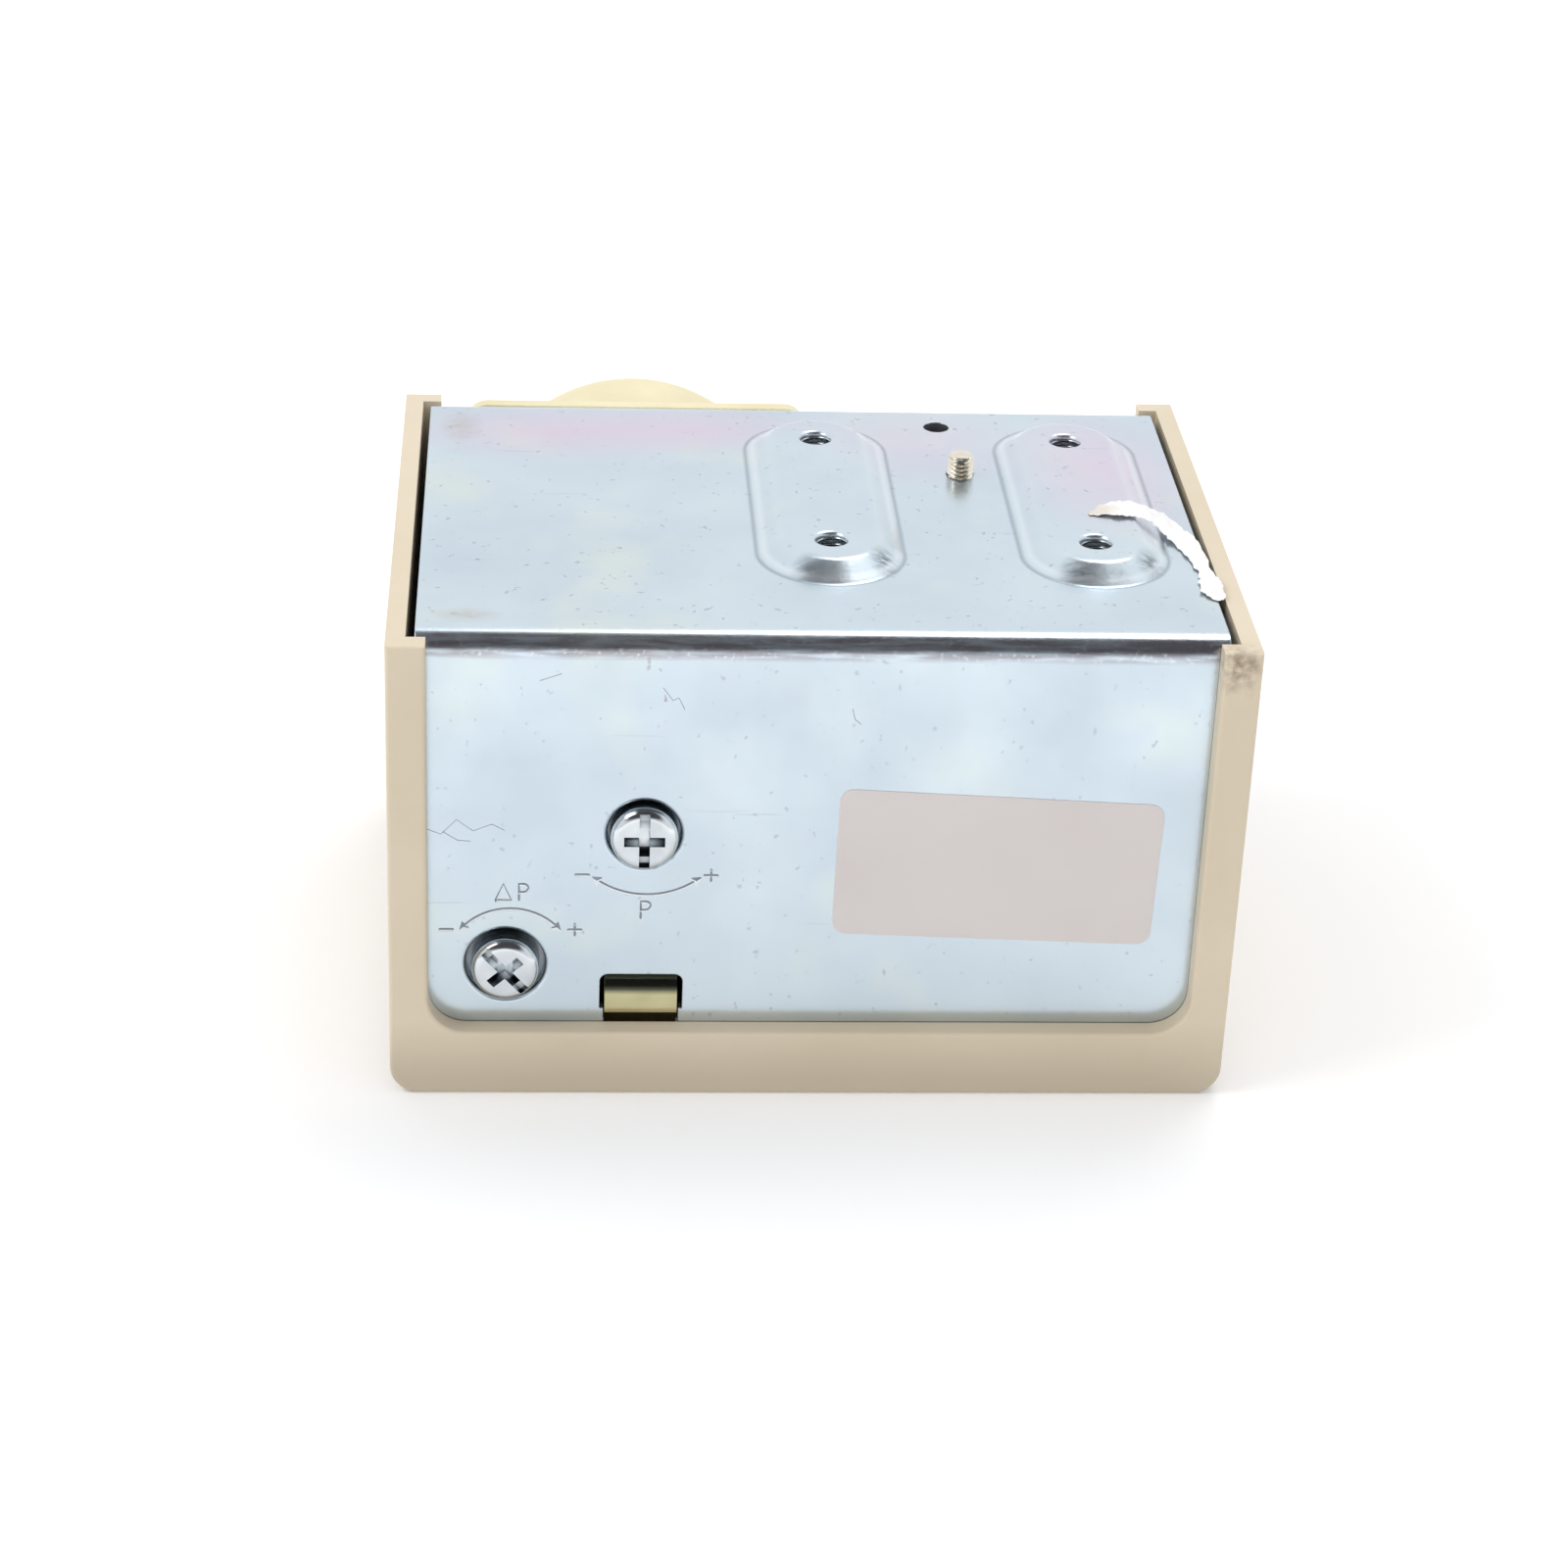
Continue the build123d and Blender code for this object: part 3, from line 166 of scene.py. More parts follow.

# %% [markdown]
# Plated steel has hardly a colour of its own and mirrors the room, so the room matters. It is pale
# behind the switch and at both sides, and dark above and behind the camera. That dark part is what
# draws the dark band along the bend of the case, and the dark patches on the ends of the pads;
# painted dark reflections in the finish of the case deepen both. Only reflections see that dark
# part: the light on the switch is soft and even, and the camera sees white.

# %% World: a soft even light, and a room with one dark part that only reflections see
dark_part_height = radians(56)
dark_part_edge, dark_part_core = 0.60, 0.78
world = bpy.data.worlds.new("studio")
bpy.context.scene.world = world
tree = emptied(world)
where = add(tree, "ShaderNodeTexCoord")
toward_dark = add(
    tree,
    "ShaderNodeVectorMath",
    {0: where.outputs["Generated"], 1: (0, -cos(dark_part_height), sin(dark_part_height))},
    operation="DOT_PRODUCT",
)
room = add(tree, "ShaderNodeValToRGB", {"Fac": toward_dark.outputs["Value"]})
for stop, position, code in zip(
    room.color_ramp.elements, (dark_part_edge, dark_part_core), ("#F6F8FB", "#4A484D")
):
    stop.position, stop.color = position, colour(code)
soft_light = add(tree, "ShaderNodeBackground", {"Color": colour("#FBFCFF"), "Strength": 0.78})
mirrored = add(tree, "ShaderNodeBackground", {"Color": room.outputs["Color"], "Strength": 1.0})
backdrop = add(tree, "ShaderNodeBackground", {"Color": colour("#FFFFFF"), "Strength": 1.0})
rays = add(tree, "ShaderNodeLightPath")
glossy = add(
    tree,
    "ShaderNodeMixShader",
    {0: rays.outputs["Is Glossy Ray"], 1: soft_light.outputs[0], 2: mirrored.outputs[0]},
)
seen = add(
    tree,
    "ShaderNodeMath",
    {0: rays.outputs["Is Camera Ray"], 1: rays.outputs["Is Transmission Ray"]},
    operation="MAXIMUM",
)
shown = add(
    tree, "ShaderNodeMixShader", {0: seen.outputs[0], 1: glossy.outputs[0], 2: backdrop.outputs[0]}
)
add(tree, "ShaderNodeOutputWorld", {"Surface": shown.outputs[0]})

# %% [markdown]
# Two soft lamps above the table give the shapes their light side. The floor is white paper: it
# keeps the shadow round the switch, and fades to plain white farther out. It is clear from below,
# so that the underside with its scale window can be seen too.

# %% Lamps and floor
for lamp_name, place, size, power in (
    ("lamp_left", (-430, -120, 520), 300, 1.1), ("lamp_rear", (160, 240, 640), 300, 1.0)
):
    lamp = bpy.data.lights.new(lamp_name, "AREA")
    lamp.size = size * MM
    lamp.energy = power
    holder = placed(lamp_name, lamp)
    holder.location = Vector(place) * MM
    holder.rotation_mode = "QUATERNION"
    holder.rotation_quaternion = (-holder.location).to_track_quat("-Z", "Y")

shadow_reach, white_from = 65, 230
lift_near, lift_far = 0.08, 0.42
floor_paint = bpy.data.materials.new("floor_white_paper")
tree = emptied(floor_paint)
paper = add(tree, "ShaderNodeBsdfDiffuse", {"Color": colour("#FAFAFA")})
where = add(tree, "ShaderNodeTexCoord")
from_middle = add(tree, "ShaderNodeVectorMath", {0: where.outputs["Object"]}, operation="LENGTH")
fade_to_white = add(
    tree,
    "ShaderNodeMapRange",
    {
        "Value": from_middle.outputs["Value"],
        "From Min": shadow_reach * MM,
        "From Max": white_from * MM,
        "To Min": lift_near,
        "To Max": lift_far,
    },
)
lift = add(
    tree, "ShaderNodeEmission", {"Color": colour("#FFFFFF"), "Strength": fade_to_white.outputs[0]}
)
rays = add(tree, "ShaderNodeLightPath")
seen = add(
    tree,
    "ShaderNodeMath",
    {0: rays.outputs["Is Camera Ray"], 1: rays.outputs["Is Glossy Ray"]},
    operation="MAXIMUM",
)
unlit = add(tree, "ShaderNodeEmission", {"Color": (0, 0, 0, 1), "Strength": 0.0})
lifted = add(
    tree, "ShaderNodeMixShader", {0: seen.outputs[0], 1: unlit.outputs[0], 2: lift.outputs[0]}
)
both = add(tree, "ShaderNodeAddShader", {0: paper.outputs[0], 1: lifted.outputs[0]})
facing = add(tree, "ShaderNodeNewGeometry")
touching = add(
    tree, "ShaderNodeMath", {0: rays.outputs["Ray Length"], 1: 0.1 * MM}, operation="LESS_THAN"
)
open_below = add(
    tree,
    "ShaderNodeMath",
    {0: facing.outputs["Backfacing"], 1: touching.outputs[0]},
    operation="MAXIMUM",
)
clear = add(tree, "ShaderNodeBsdfTransparent")
sheet = add(
    tree, "ShaderNodeMixShader", {0: open_below.outputs[0], 1: both.outputs[0], 2: clear.outputs[0]}
)
add(tree, "ShaderNodeOutputMaterial", {"Surface": sheet.outputs[0]})
floor_reach = 3.0
floor_drop = 0.02 * MM
floor_mesh = bpy.data.meshes.new("floor")
floor_mesh.from_pydata(
    [
        (x * floor_reach, y * floor_reach, -floor_drop)
        for x, y in ((-1, -1), (1, -1), (1, 1), (-1, 1))
    ],
    [],
    [(0, 1, 2, 3)],
)
floor_mesh.materials.append(floor_paint)
floor = placed("floor", floor_mesh)
print("studio ready")

# %% [markdown]
# ## Finishes
#
# Every finish starts the same way: the position on the piece in millimetres, one slow noise that
# shifts the colour, and one fine noise that roughens the surface. What differs is the two colours,
# the size of the patches and of the grain in millimetres, the strength of the bump, the lowest
# and highest roughness, and how metallic it is. A grain too fine for the render is drawn coarser.

# %% One function for a finish
def finish(name, light, dark, patch, grain, depth, rough, metal=0.0, **shader):
    """A material whose colour drifts from light to dark over patches, with a fine grain."""
    made = bpy.data.materials.new(name)
    tree = emptied(made)
    where = add(tree, "ShaderNodeTexCoord")
    mm = add(tree, "ShaderNodeMapping", {"Vector": where.outputs["Object"], "Scale": (1 / MM,) * 3})
    drift = add(
        tree,
        "ShaderNodeTexNoise",
        {"Vector": mm.outputs[0], "Scale": 1 / patch, "Detail": 4.0, "Roughness": 0.55},
    )
    # A noise seldom leaves the span from 0.3 to 0.7, so that span is stretched to the whole.
    span = {"From Min": 0.3, "From Max": 0.7}
    tone = add(tree, "ShaderNodeMapRange", {"Value": drift.outputs["Fac"], **span})
    base = add(
        tree,
        "ShaderNodeMix",
        {"Factor": tone.outputs[0], 6: colour(light), 7: colour(dark)},
        data_type="RGBA",
    )
    fine = add(
        tree, "ShaderNodeTexNoise", {"Vector": mm.outputs[0], "Scale": 1 / grain, "Detail": 3.0}
    )
    sheen = add(
        tree,
        "ShaderNodeMapRange",
        {"Value": fine.outputs["Fac"], **span, "To Min": rough[0], "To Max": rough[1]},
    )
    bump = add(
        tree,
        "ShaderNodeBump",
        {"Height": fine.outputs["Fac"], "Strength": depth, "Distance": grain * MM},
    )
    skin = add(
        tree,
        "ShaderNodeBsdfPrincipled",
        {
            "Base Color": base.outputs[2],
            "Roughness": sheen.outputs[0],
            "Normal": bump.outputs[0],
            "Metallic": metal,
            **shader,
        },
    )
    add(tree, "ShaderNodeOutputMaterial", {"Surface": skin.outputs[0]})
    return made, tree, mm.outputs[0], base.outputs[2], skin


# %% [markdown]
# Marks are laid over the finish afterwards: scratches, stains, and painted shade, highlights and
# reflections. Each is a colour and a mask that is 1 where the mark is. A mask is a spot, a slope
# along one axis or ragged patches of noise, and several masks are multiplied, so that the mark is
# only where all of them are.

# %% Masks, and a colour laid over a finish
def overlay(tree, skin, under, code, amount, *masks):
    """Lays a colour over the finish where all the masks are high, and returns the new colour."""
    share = amount
    for mask in masks:
        share = add(tree, "ShaderNodeMath", {0: mask, 1: share}, operation="MULTIPLY").outputs[0]
    laid = add(
        tree, "ShaderNodeMix", {"Factor": share, 6: under, 7: colour(code)}, data_type="RGBA"
    )
    tree.links.new(laid.outputs[2], skin.inputs["Base Color"])
    return laid.outputs[2]


def slope(tree, mm, axis, start, end, low=0.0, high=1.0):
    """Goes from low to high between two places, in millimetres, along an axis of the piece."""
    place = add(tree, "ShaderNodeSeparateXYZ", {0: mm})
    ends = {"From Min": start, "From Max": end, "To Min": low, "To Max": high}
    return add(tree, "ShaderNodeMapRange", {"Value": place.outputs[axis], **ends}).outputs[0]


def spot(tree, mm, middle, reach, edge):
    """1 inside an ellipsoid of that middle and reach in millimetres, 0 outside its soft edge."""
    scale = tuple(1 / r for r in reach)
    offset = tuple(-m / r for m, r in zip(middle, reach))
    fitted = add(tree, "ShaderNodeMapping", {"Vector": mm, "Location": offset, "Scale": scale})
    far = add(tree, "ShaderNodeVectorMath", {0: fitted.outputs[0]}, operation="LENGTH")
    fade = {"From Min": 1 - edge, "From Max": 1 + edge, "To Min": 1.0, "To Max": 0.0}
    return add(tree, "ShaderNodeMapRange", {"Value": far.outputs["Value"], **fade}).outputs[0]


def patches(tree, place, per_mm, low, high, detail=3.0):
    """1 in ragged patches: where a noise with that many cells per millimetre is over high."""
    cells = add(tree, "ShaderNodeTexNoise", {"Vector": place, "Scale": per_mm, "Detail": detail})
    edge = {"Value": cells.outputs["Fac"], "From Min": low, "From Max": high}
    return add(tree, "ShaderNodeMapRange", edge).outputs[0]


print("finish helpers ready")

# %% [markdown]
# ### Blue zinc
#
# The case is steel sheet, zinc-plated and passivated. The clear passivate is thinner than a
# wavelength of light, so the pale blue drifts to straw and pink where it is a little thicker. The
# straw comes in patches of about 14 mm, and the pink is kept to the rear of the back plate and
# the right pad, where the real one shows it. Hairline scratches come from stretched noise.

# %% Zinc-plated steel sheet, blue passivate
# A cool, slightly hazy mirror: it shows the room as soft shapes, and every mark on it.
blue_zinc, tree, mm, tint, skin = finish(
    "zinc_plated_steel_blue_passivate", "#D8E4EA", "#CCD9E2", 18, 0.35, 0.012, (0.22, 0.27), 0.92
)
tint = overlay(tree, skin, tint, "#DFE8DF", 0.6, patches(tree, mm, 1 / 14, 0.56, 0.72, 2.0))
for middle, reach, amount in (
    ((-26, 22, 52), (11, 4.5, 4), 0.7),
    ((-10, 23, 52), (8, 4, 4), 0.6),
    ((13, 20, 53), (8, 7, 4), 0.4),
    ((33, 10, 53), (6, 11, 4), 0.7),
):
    tint = overlay(tree, skin, tint, "#E6CDDF", amount, spot(tree, mm, middle, reach, 0.9))
stretched = add(
    tree,
    "ShaderNodeMapping",
    {"Vector": mm, "Rotation": (0, radians(22), radians(14)), "Scale": (0.05, 1.4, 1.4)},
)
hairlines = patches(tree, stretched.outputs[0], 1.0, 0.70, 0.74, 5.0)
tint = overlay(tree, skin, tint, "#B4BEC5", 0.35, hairlines)
print("blue zinc: plating ready")

# %% [markdown]
# Dark specks are scattered over the sheet, and rust has started in those above the range screw.
# Two corners of the back plate carry a brown smudge.

# %% Specks, a touch of rust and smudges
specks = patches(tree, mm, 1.1, 0.67, 0.71)
rusty = spot(tree, mm, (-16, -31, 43), (6, 3, 5), 0.6)
tint = overlay(tree, skin, tint, "#B98A80", 0.8, specks, rusty)
tint = overlay(tree, skin, tint, "#98A0A6", 0.45, specks)
cloudy = patches(tree, mm, 1.1, 0.0, 1.0)
for middle, reach in (((-37.5, 23, 52.5), (1.6, 3.0, 2)), ((-36, -26, 52.5), (2.4, 1.2, 2))):
    smudge = spot(tree, mm, middle, reach, 0.7)
    tint = overlay(tree, skin, tint, "#B5A690", 0.6, smudge, cloudy)
print("blue zinc: specks ready")

# %% [markdown]
# The outside of the bend gets a painted dark reflection, streaked along the fold, with painted
# light flecks in it. The mask below is 1 on the outside of the bend alone: past the flat of the
# back plate, and above the flat of the front. The front itself has a faint mottled haze, which
# grows towards the bend.

# %% The hazy front, and the painted dark reflection on the bend, streaked along the fold
bend_radius = 2.24
case_front, case_top = -30.75, 52.3
bend_foot = case_top - bend_radius
place = add(tree, "ShaderNodeSeparateXYZ", {0: mm})
x_mm, y_mm, z_mm = place.outputs
on_front = add(tree, "ShaderNodeMath", {0: y_mm, 1: case_front + 0.4}, operation="LESS_THAN")
haze = patches(tree, mm, 0.09, 0.25, 0.72, 8.0)
higher = slope(tree, mm, "Z", 8.0, 36.0, 0.1)
tint = overlay(tree, skin, tint, "#B7C4CE", 0.6, haze, on_front.outputs[0], higher)
top_ends = (case_front + bend_radius * share for share in (0.62, 0.42))
fold = slope(tree, mm, "Y", *top_ends), slope(tree, mm, "Z", bend_foot - 0.5, bend_foot + 0.2)
along_fold = add(tree, "ShaderNodeMapping", {"Vector": mm, "Scale": (0.16, 1.6, 1.6)})
reflection_streaks = patches(tree, along_fold.outputs[0], 1.0, 0.36, 0.56, 6.0)
# Painted dark reflection along the outside of the bend, streaked along the fold.
tint = overlay(tree, skin, tint, "#84737A", 0.6, *fold, reflection_streaks)
# Painted light flecks in that reflection.
bend_glints = patches(tree, mm, 2.2, 0.60, 0.66)
tint = overlay(tree, skin, tint, "#E8ECF0", 0.45, *fold, bend_glints)
print("blue zinc: bend ready")

# %% [markdown]
# The pads were drawn, so their edges are a little rounder than the solid's. The Bevel node rounds
# them in the shading alone. At the front end of each pad, both corners carry a painted dark
# reflection. Round the foot of the slope runs a fine painted shade line, with a painted highlight
# just inside it and a faint one on the shoulder. They are drawn by the distance from the line
# between a pad's two holes.

# %% The drawn pads: soft shoulders, painted dark reflections at the corners, and painted shade and highlight lines
holes = next(m for m in frame["record"]["mounts"] if m["name"] == "mounting_holes")
hole_across, hole_along = (holes["dims"][f"spacing_{axis}_mm"] for axis in "xy")
pads_x, pads_y = (c / MM for c in holes["pos_m"][:2])
pad_shoulder = 53.2
# Painted dark reflections at both front corners of each pad, broken up by the streak noise.
for side, back, amount in ((-2.7, -5.7, 0.6), (5.4, -3.4, 0.75)):
    for pad_x in (pads_x - hole_across / 2, pads_x + hole_across / 2):
        corner = (pad_x + side, pads_y - hole_along / 2 + back, pad_shoulder)
        pad_corner_reflection = spot(tree, mm, corner, (1.1, 1.5, 1.2), 0.8)
        tint = overlay(tree, skin, tint, "#5C636A", amount, pad_corner_reflection, reflection_streaks)
across, along = x_mm, y_mm
for operation, number in (("SUBTRACT", pads_x), ("ABSOLUTE", 0), ("SUBTRACT", hole_across / 2)):
    across = add(tree, "ShaderNodeMath", {0: across, 1: number}, operation=operation).outputs[0]
for operation, number in (
    ("SUBTRACT", pads_y), ("ABSOLUTE", 0), ("SUBTRACT", hole_along / 2), ("MAXIMUM", 0)
):
    along = add(tree, "ShaderNodeMath", {0: along, 1: number}, operation=operation).outputs[0]
flat = add(tree, "ShaderNodeCombineXYZ", {"X": across, "Y": along})
from_pad = add(tree, "ShaderNodeVectorMath", {0: flat.outputs[0]}, operation="LENGTH")
on_top = add(tree, "ShaderNodeMath", {0: z_mm, 1: case_top - 0.6}, operation="GREATER_THAN")
# Painted shade at the foot of each pad's slope, a painted highlight inside it, and a faint painted
# highlight on the shoulder.
for radius, width, code, amount in (
    (7.8, 0.36, "#6F7C87", 0.5), (7.0, 0.55, "#EEF4F8", 0.55), (5.2, 0.9, "#E6EEF3", 0.2)
):
    off_line = add(
        tree, "ShaderNodeMath", {0: from_pad.outputs["Value"], 1: radius}, operation="SUBTRACT"
    )
    gap = add(tree, "ShaderNodeMath", {0: off_line.outputs[0]}, operation="ABSOLUTE")
    fade = {"From Min": 0.0, "From Max": width, "To Min": 1.0, "To Max": 0.0}
    line = add(tree, "ShaderNodeMapRange", {"Value": gap.outputs[0], **fade})
    tint = overlay(tree, skin, tint, code, amount, line.outputs[0], on_top.outputs[0])
rounding = slope(tree, mm, "Z", case_top - 0.05, case_top + 0.1, 0.2 * MM, 0.38 * MM)
shoulder = add(tree, "ShaderNodeBevel", {"Radius": rounding}, samples=6)
grain_bump = skin.inputs["Normal"].links[0].from_node
tree.links.new(shoulder.outputs[0], grain_bump.inputs["Normal"])
print("blue zinc: pads ready")

# %% [markdown]
# ### The other metals
#
# The bellows cup and its flange carry a yellow passivate. The scale plate has gone olive, and its
# hook, which shows in the notch of the front, carries a painted dark reflection on top. Screws are
# bright zinc. The screw in the back plate has a straw tint. The lever and bracket are plain
# pressed steel, the springs drawn wire, and the nuts and the connector turned brass. Ambient
# occlusion paints shade into the cross recesses of the screws.

# %% Other metal finishes
# A pale satin gold, soft enough that nothing is mirrored sharply.
yellow_zinc = finish(
    "zinc_plated_steel_yellow_passivate", "#FBF0CB", "#F0E3B8", 9, 0.3, 0.02, (0.3, 0.4), 0.6
)[0]
# A greenish gold with sharper lights, and a painted dark reflection, nearly black, on top of the
# hook.
olive_zinc, tree, mm, tint, skin = finish(
    "zinc_plated_steel_olive_passivate", "#D3CCA4", "#BFB789", 5, 0.25, 0.02, (0.14, 0.2), 0.95
)
# Painted dark reflection: the top of the hook, above about 11 mm, is nearly black.
overlay(tree, skin, tint, "#27332F", 0.9, slope(tree, mm, "Z", 10.5, 11.1))
# A crisp silver, with painted shade in its recesses.
bright_zinc, tree, mm, tint, skin = finish(
    "zinc_plated_screw_steel", "#DDE2E4", "#C8CED2", 3, 0.12, 0.01, (0.12, 0.2), 1.0
)
# Painted shade: ambient occlusion darkens the cross recesses and other narrow hollows.
openness = add(tree, "ShaderNodeAmbientOcclusion", {"Distance": 1.1 * MM}, samples=8)
recess_shade = add(
    tree, "ShaderNodeMapRange", {"Value": openness.outputs["AO"], "From Min": 0.72, "From Max": 0.4}
)
overlay(tree, skin, tint, "#2F3A42", 0.85, recess_shade.outputs[0])
# The same silver with a breath of straw.
warm_zinc = finish(
    "zinc_plated_screw_steel_straw_tint", "#F6F0E2", "#E6DCC8", 2, 0.12, 0.01, (0.14, 0.22), 1.0
)[0]
# A dull grey with broad, soft lights.
pressed_steel = finish(
    "pressed_steel_bare", "#A9ABAD", "#949699", 6, 0.25, 0.03, (0.32, 0.46), 1.0
)[0]
# A darker grey, drawn smooth, with a thin light along each turn.
spring_wire = finish("drawn_spring_wire", "#84868A", "#6E7074", 4, 0.15, 0.02, (0.25, 0.36), 1.0)[0]
# A clear warm yellow with lights that run round the tool marks.
turned_brass = finish("turned_brass", "#D9BE7A", "#C8AA62", 5, 0.2, 0.012, (0.2, 0.28), 1.0)[0]
# A redder brown than brass, with soft lights in its folds.
formed_bronze = finish(
    "formed_bronze_sheet", "#C99A6B", "#B78555", 5, 0.2, 0.015, (0.24, 0.34), 1.0
)[0]
print("metals ready")

# %% [markdown]
# ### Moulded plastics, rubber and glass
#
# The cover is a moulded thermoset in a warm beige. Its skin is satin, with a spark-eroded grain
# of about a fifth of a millimetre, and one brown stain on top of the right lip. Painted shade makes
# it a little greyer toward its foot.

# %% Plastics, rubber, paper and film
# A warm, matt beige that drifts a little, with painted shade near the table.
beige_plastic, tree, mm, tint, skin = finish(
    "moulded_beige_plastic", "#E5D6BD", "#DBCCB1", 22, 0.22, 0.04, (0.42, 0.52)
)
ragged = patches(tree, mm, 0.9, 0.34, 0.66, 4.0)
for middle, reach, amount in (
    ((41.0, -33, 50.4), (1.0, 2, 1.7), 0.85),
    ((42.2, -33, 51.0), (1.6, 2, 1.0), 0.55),
    ((42.9, -33, 49.8), (0.5, 2, 1.6), 0.45),
):
    stain = spot(tree, mm, middle, reach, 0.9)
    tint = overlay(tree, skin, tint, "#6E4F36", amount, stain, ragged)
# Painted shade: greyer toward the foot of the cover, from 9 mm down.
overlay(tree, skin, tint, "#B5A993", 0.6, slope(tree, mm, "Z", 9.0, 2.0))
# A near black with a faint grain and a soft light.
black_phenolic = finish(
    "moulded_black_phenolic", "#2A2826", "#211F1D", 8, 0.25, 0.10, (0.38, 0.5)
)[0]
# A milky white with a slight gloss.
natural_nylon = finish("moulded_natural_nylon", "#E6E2D6", "#DAD5C6", 5, 0.2, 0.06, (0.34, 0.44))[0]
# A flat black that hardly shines.
black_rubber = finish("moulded_black_rubber", "#222222", "#191919", 7, 0.3, 0.2, (0.6, 0.75))[0]
# Clear as glass, with a sharp reflection.
clear_pane = finish(
    "clear_acrylic",
    "#F4F8F8",
    "#EEF4F4",
    12,
    0.4,
    0.01,
    (0.03, 0.06),
    IOR=1.49,
    **{"Transmission Weight": 1.0},
)[0]
# A dead flat pinkish grey, which stands out from the plating by not shining.
grey_label = finish("coated_paper_label", "#E1DAD6", "#DCD4D0", 16, 0.15, 0.03, (0.5, 0.62))[0]
# The shaded side of a stamped line, and the side that catches the light.
mark_shadow = finish(
    "stamped_groove_shadow", "#7C858B", "#98A1A8", 1.2, 0.2, 0.05, (0.5, 0.6), 0.4
)[0]
mark_light = finish(
    "stamped_groove_lit_edge", "#F6F9FC", "#E4EAEF", 1.2, 0.2, 0.05, (0.4, 0.5), 0.3
)[0]
# A matt black print.
scale_ink = finish("scale_ink_black", "#2B2B2D", "#1E1E20", 2, 0.15, 0.03, (0.45, 0.6))[0]
# White and crinkled, with a soiled tan end where glue is left on it.
film_scrap, tree, mm, tint, skin = finish(
    "torn_protective_film", "#FFFFFF", "#F3F1EC", 2.5, 0.3, 0.15, (0.35, 0.5)
)
torn_end = spot(tree, mm, (30.6, -2.6, 54.3), (2.0, 1.6, 1.0), 0.5)
overlay(tree, skin, tint, "#C9B99C", 0.55, torn_end)
print("plastics ready")

# %% [markdown]
# Each solid keeps its mesh and gets the finish that its real piece has.

# %% Give each solid its finish
finishes = {
    blue_zinc: "case",
    olive_zinc: "scale_plate",
    yellow_zinc: "bellows_flange_plate bellows_cup",
    bright_zinc: (
        "pressure_adjusting_screw diff_adjusting_screw cover_screw housing_screw bracket_rivets "
        "flange_rivets terminal_screws terminal_washers"
    ),
    pressed_steel: (
        "main_lever lever_bracket lever_pin push_rod range_spring_seat diff_spring_seat"
    ),
    spring_wire: "range_spring diff_spring",
    turned_brass: (
        "range_nut diff_nut flare_connector bellows_end_cap terminal_common "
        "terminal_open_contact terminal_closed_contact"
    ),
    formed_bronze: "bellows contact_blade",
    beige_plastic: "front_cover",
    clear_pane: "scale_window",
    black_phenolic: "switch_housing",
    natural_nylon: "switch_plunger",
    black_rubber: "cable_grommet",
}
for material, names in finishes.items():
    for name in names.split():
        for held in frame["nodes"][name].material_slots:
            held.material = material
print("finished", sum(len(names.split()) for names in finishes.values()), "solids")

# %% [markdown]
# ## Screw threads
#
# A thread is one V-shaped ridge that climbs the shank by one pitch a turn. A grid of points round
# and along the shank, with the radius following the ridge, gives it in one mesh. The screw's tip
# stands out of the back plate, so its thread shows, and so does the thread of the connector. A
# plain turned shape is the same grid with a radius for each level.

# %% Thread and lathe builders
def quads(rows, around):
    """Faces between rows of points that close on themselves."""
    return [
        (low + k, low + (k + 1) % around, high + (k + 1) % around, high + k)
        for low, high in ((r * around, (r + 1) * around) for r in range(rows - 1))
        for k in range(around)
    ]


def place_on(middle, axis, u, v, level):
    """A point with u and v across the axis and level along it."""
    if axis == "Z":
        return Vector((middle[0] + u, middle[1] + v, level))
    return Vector((middle[0] + u, level, middle[1] - v))


def turned(name, profile, middle, axis, material, sides=64):
    """A lathe-turned piece from pairs of radius and level; a radius may depend on the angle."""
    verts, faces, rings = [], [], []
    for radius, level in profile:
        count = sides if radius else 1
        rings.append(range(len(verts), len(verts) + count))
        for turn in (2 * pi * k / sides for k in range(count)):
            across = radius(turn, level) if callable(radius) else radius
            verts.append(place_on(middle, axis, across * cos(turn), across * sin(turn), level))
    for lower, upper in zip(rings, rings[1:]):
        for k in range(sides):
            j = (k + 1) % sides
            corners = [lower[k % len(lower)], lower[j % len(lower)]]
            corners += [upper[j % len(upper)], upper[k % len(upper)]]
            faces.append(tuple(dict.fromkeys(corners)))
    return piece(name, verts, faces, material)


def thread(name, middle, axis, start, end, crest, root, pitch, material, capped=True):
    """A threaded skin round an axis, closed at both ends if it is capped."""
    around, levels_a_turn = 40, 6
    steps = ceil((end - start) / pitch * levels_a_turn)
    verts = []
    for i in range(steps + 1):
        along = start + (end - start) * i / steps
        fade = min(1.0, (along - start) / pitch, (end - along) / pitch)
        for j in range(around):
            turn = 2 * pi * j / around
            phase = (along / pitch - j / around) % 1.0
            ridge = 1 - abs(2 * phase - 1)
            radius = root + (crest - root) * ridge * max(fade, 0.0)
            verts.append(place_on(middle, axis, radius * cos(turn), radius * sin(turn), along))
    faces = quads(steps + 1, around)
    if capped:
        faces.append(tuple(range(around))[::-1])
        faces.append(tuple(steps * around + j for j in range(around)))
    print(name, "turns:", round((end - start) / pitch, 1))
    return piece(name, verts, faces, material)


print("builders ready")

# %% [markdown]
# The screw behind the back plate holds the switch housing. Its drawn shank is smooth, so the
# threaded screw below stands for it: same head, same length, with a real M3 ridge of 0.5 mm. The
# box of the solid gives its place.

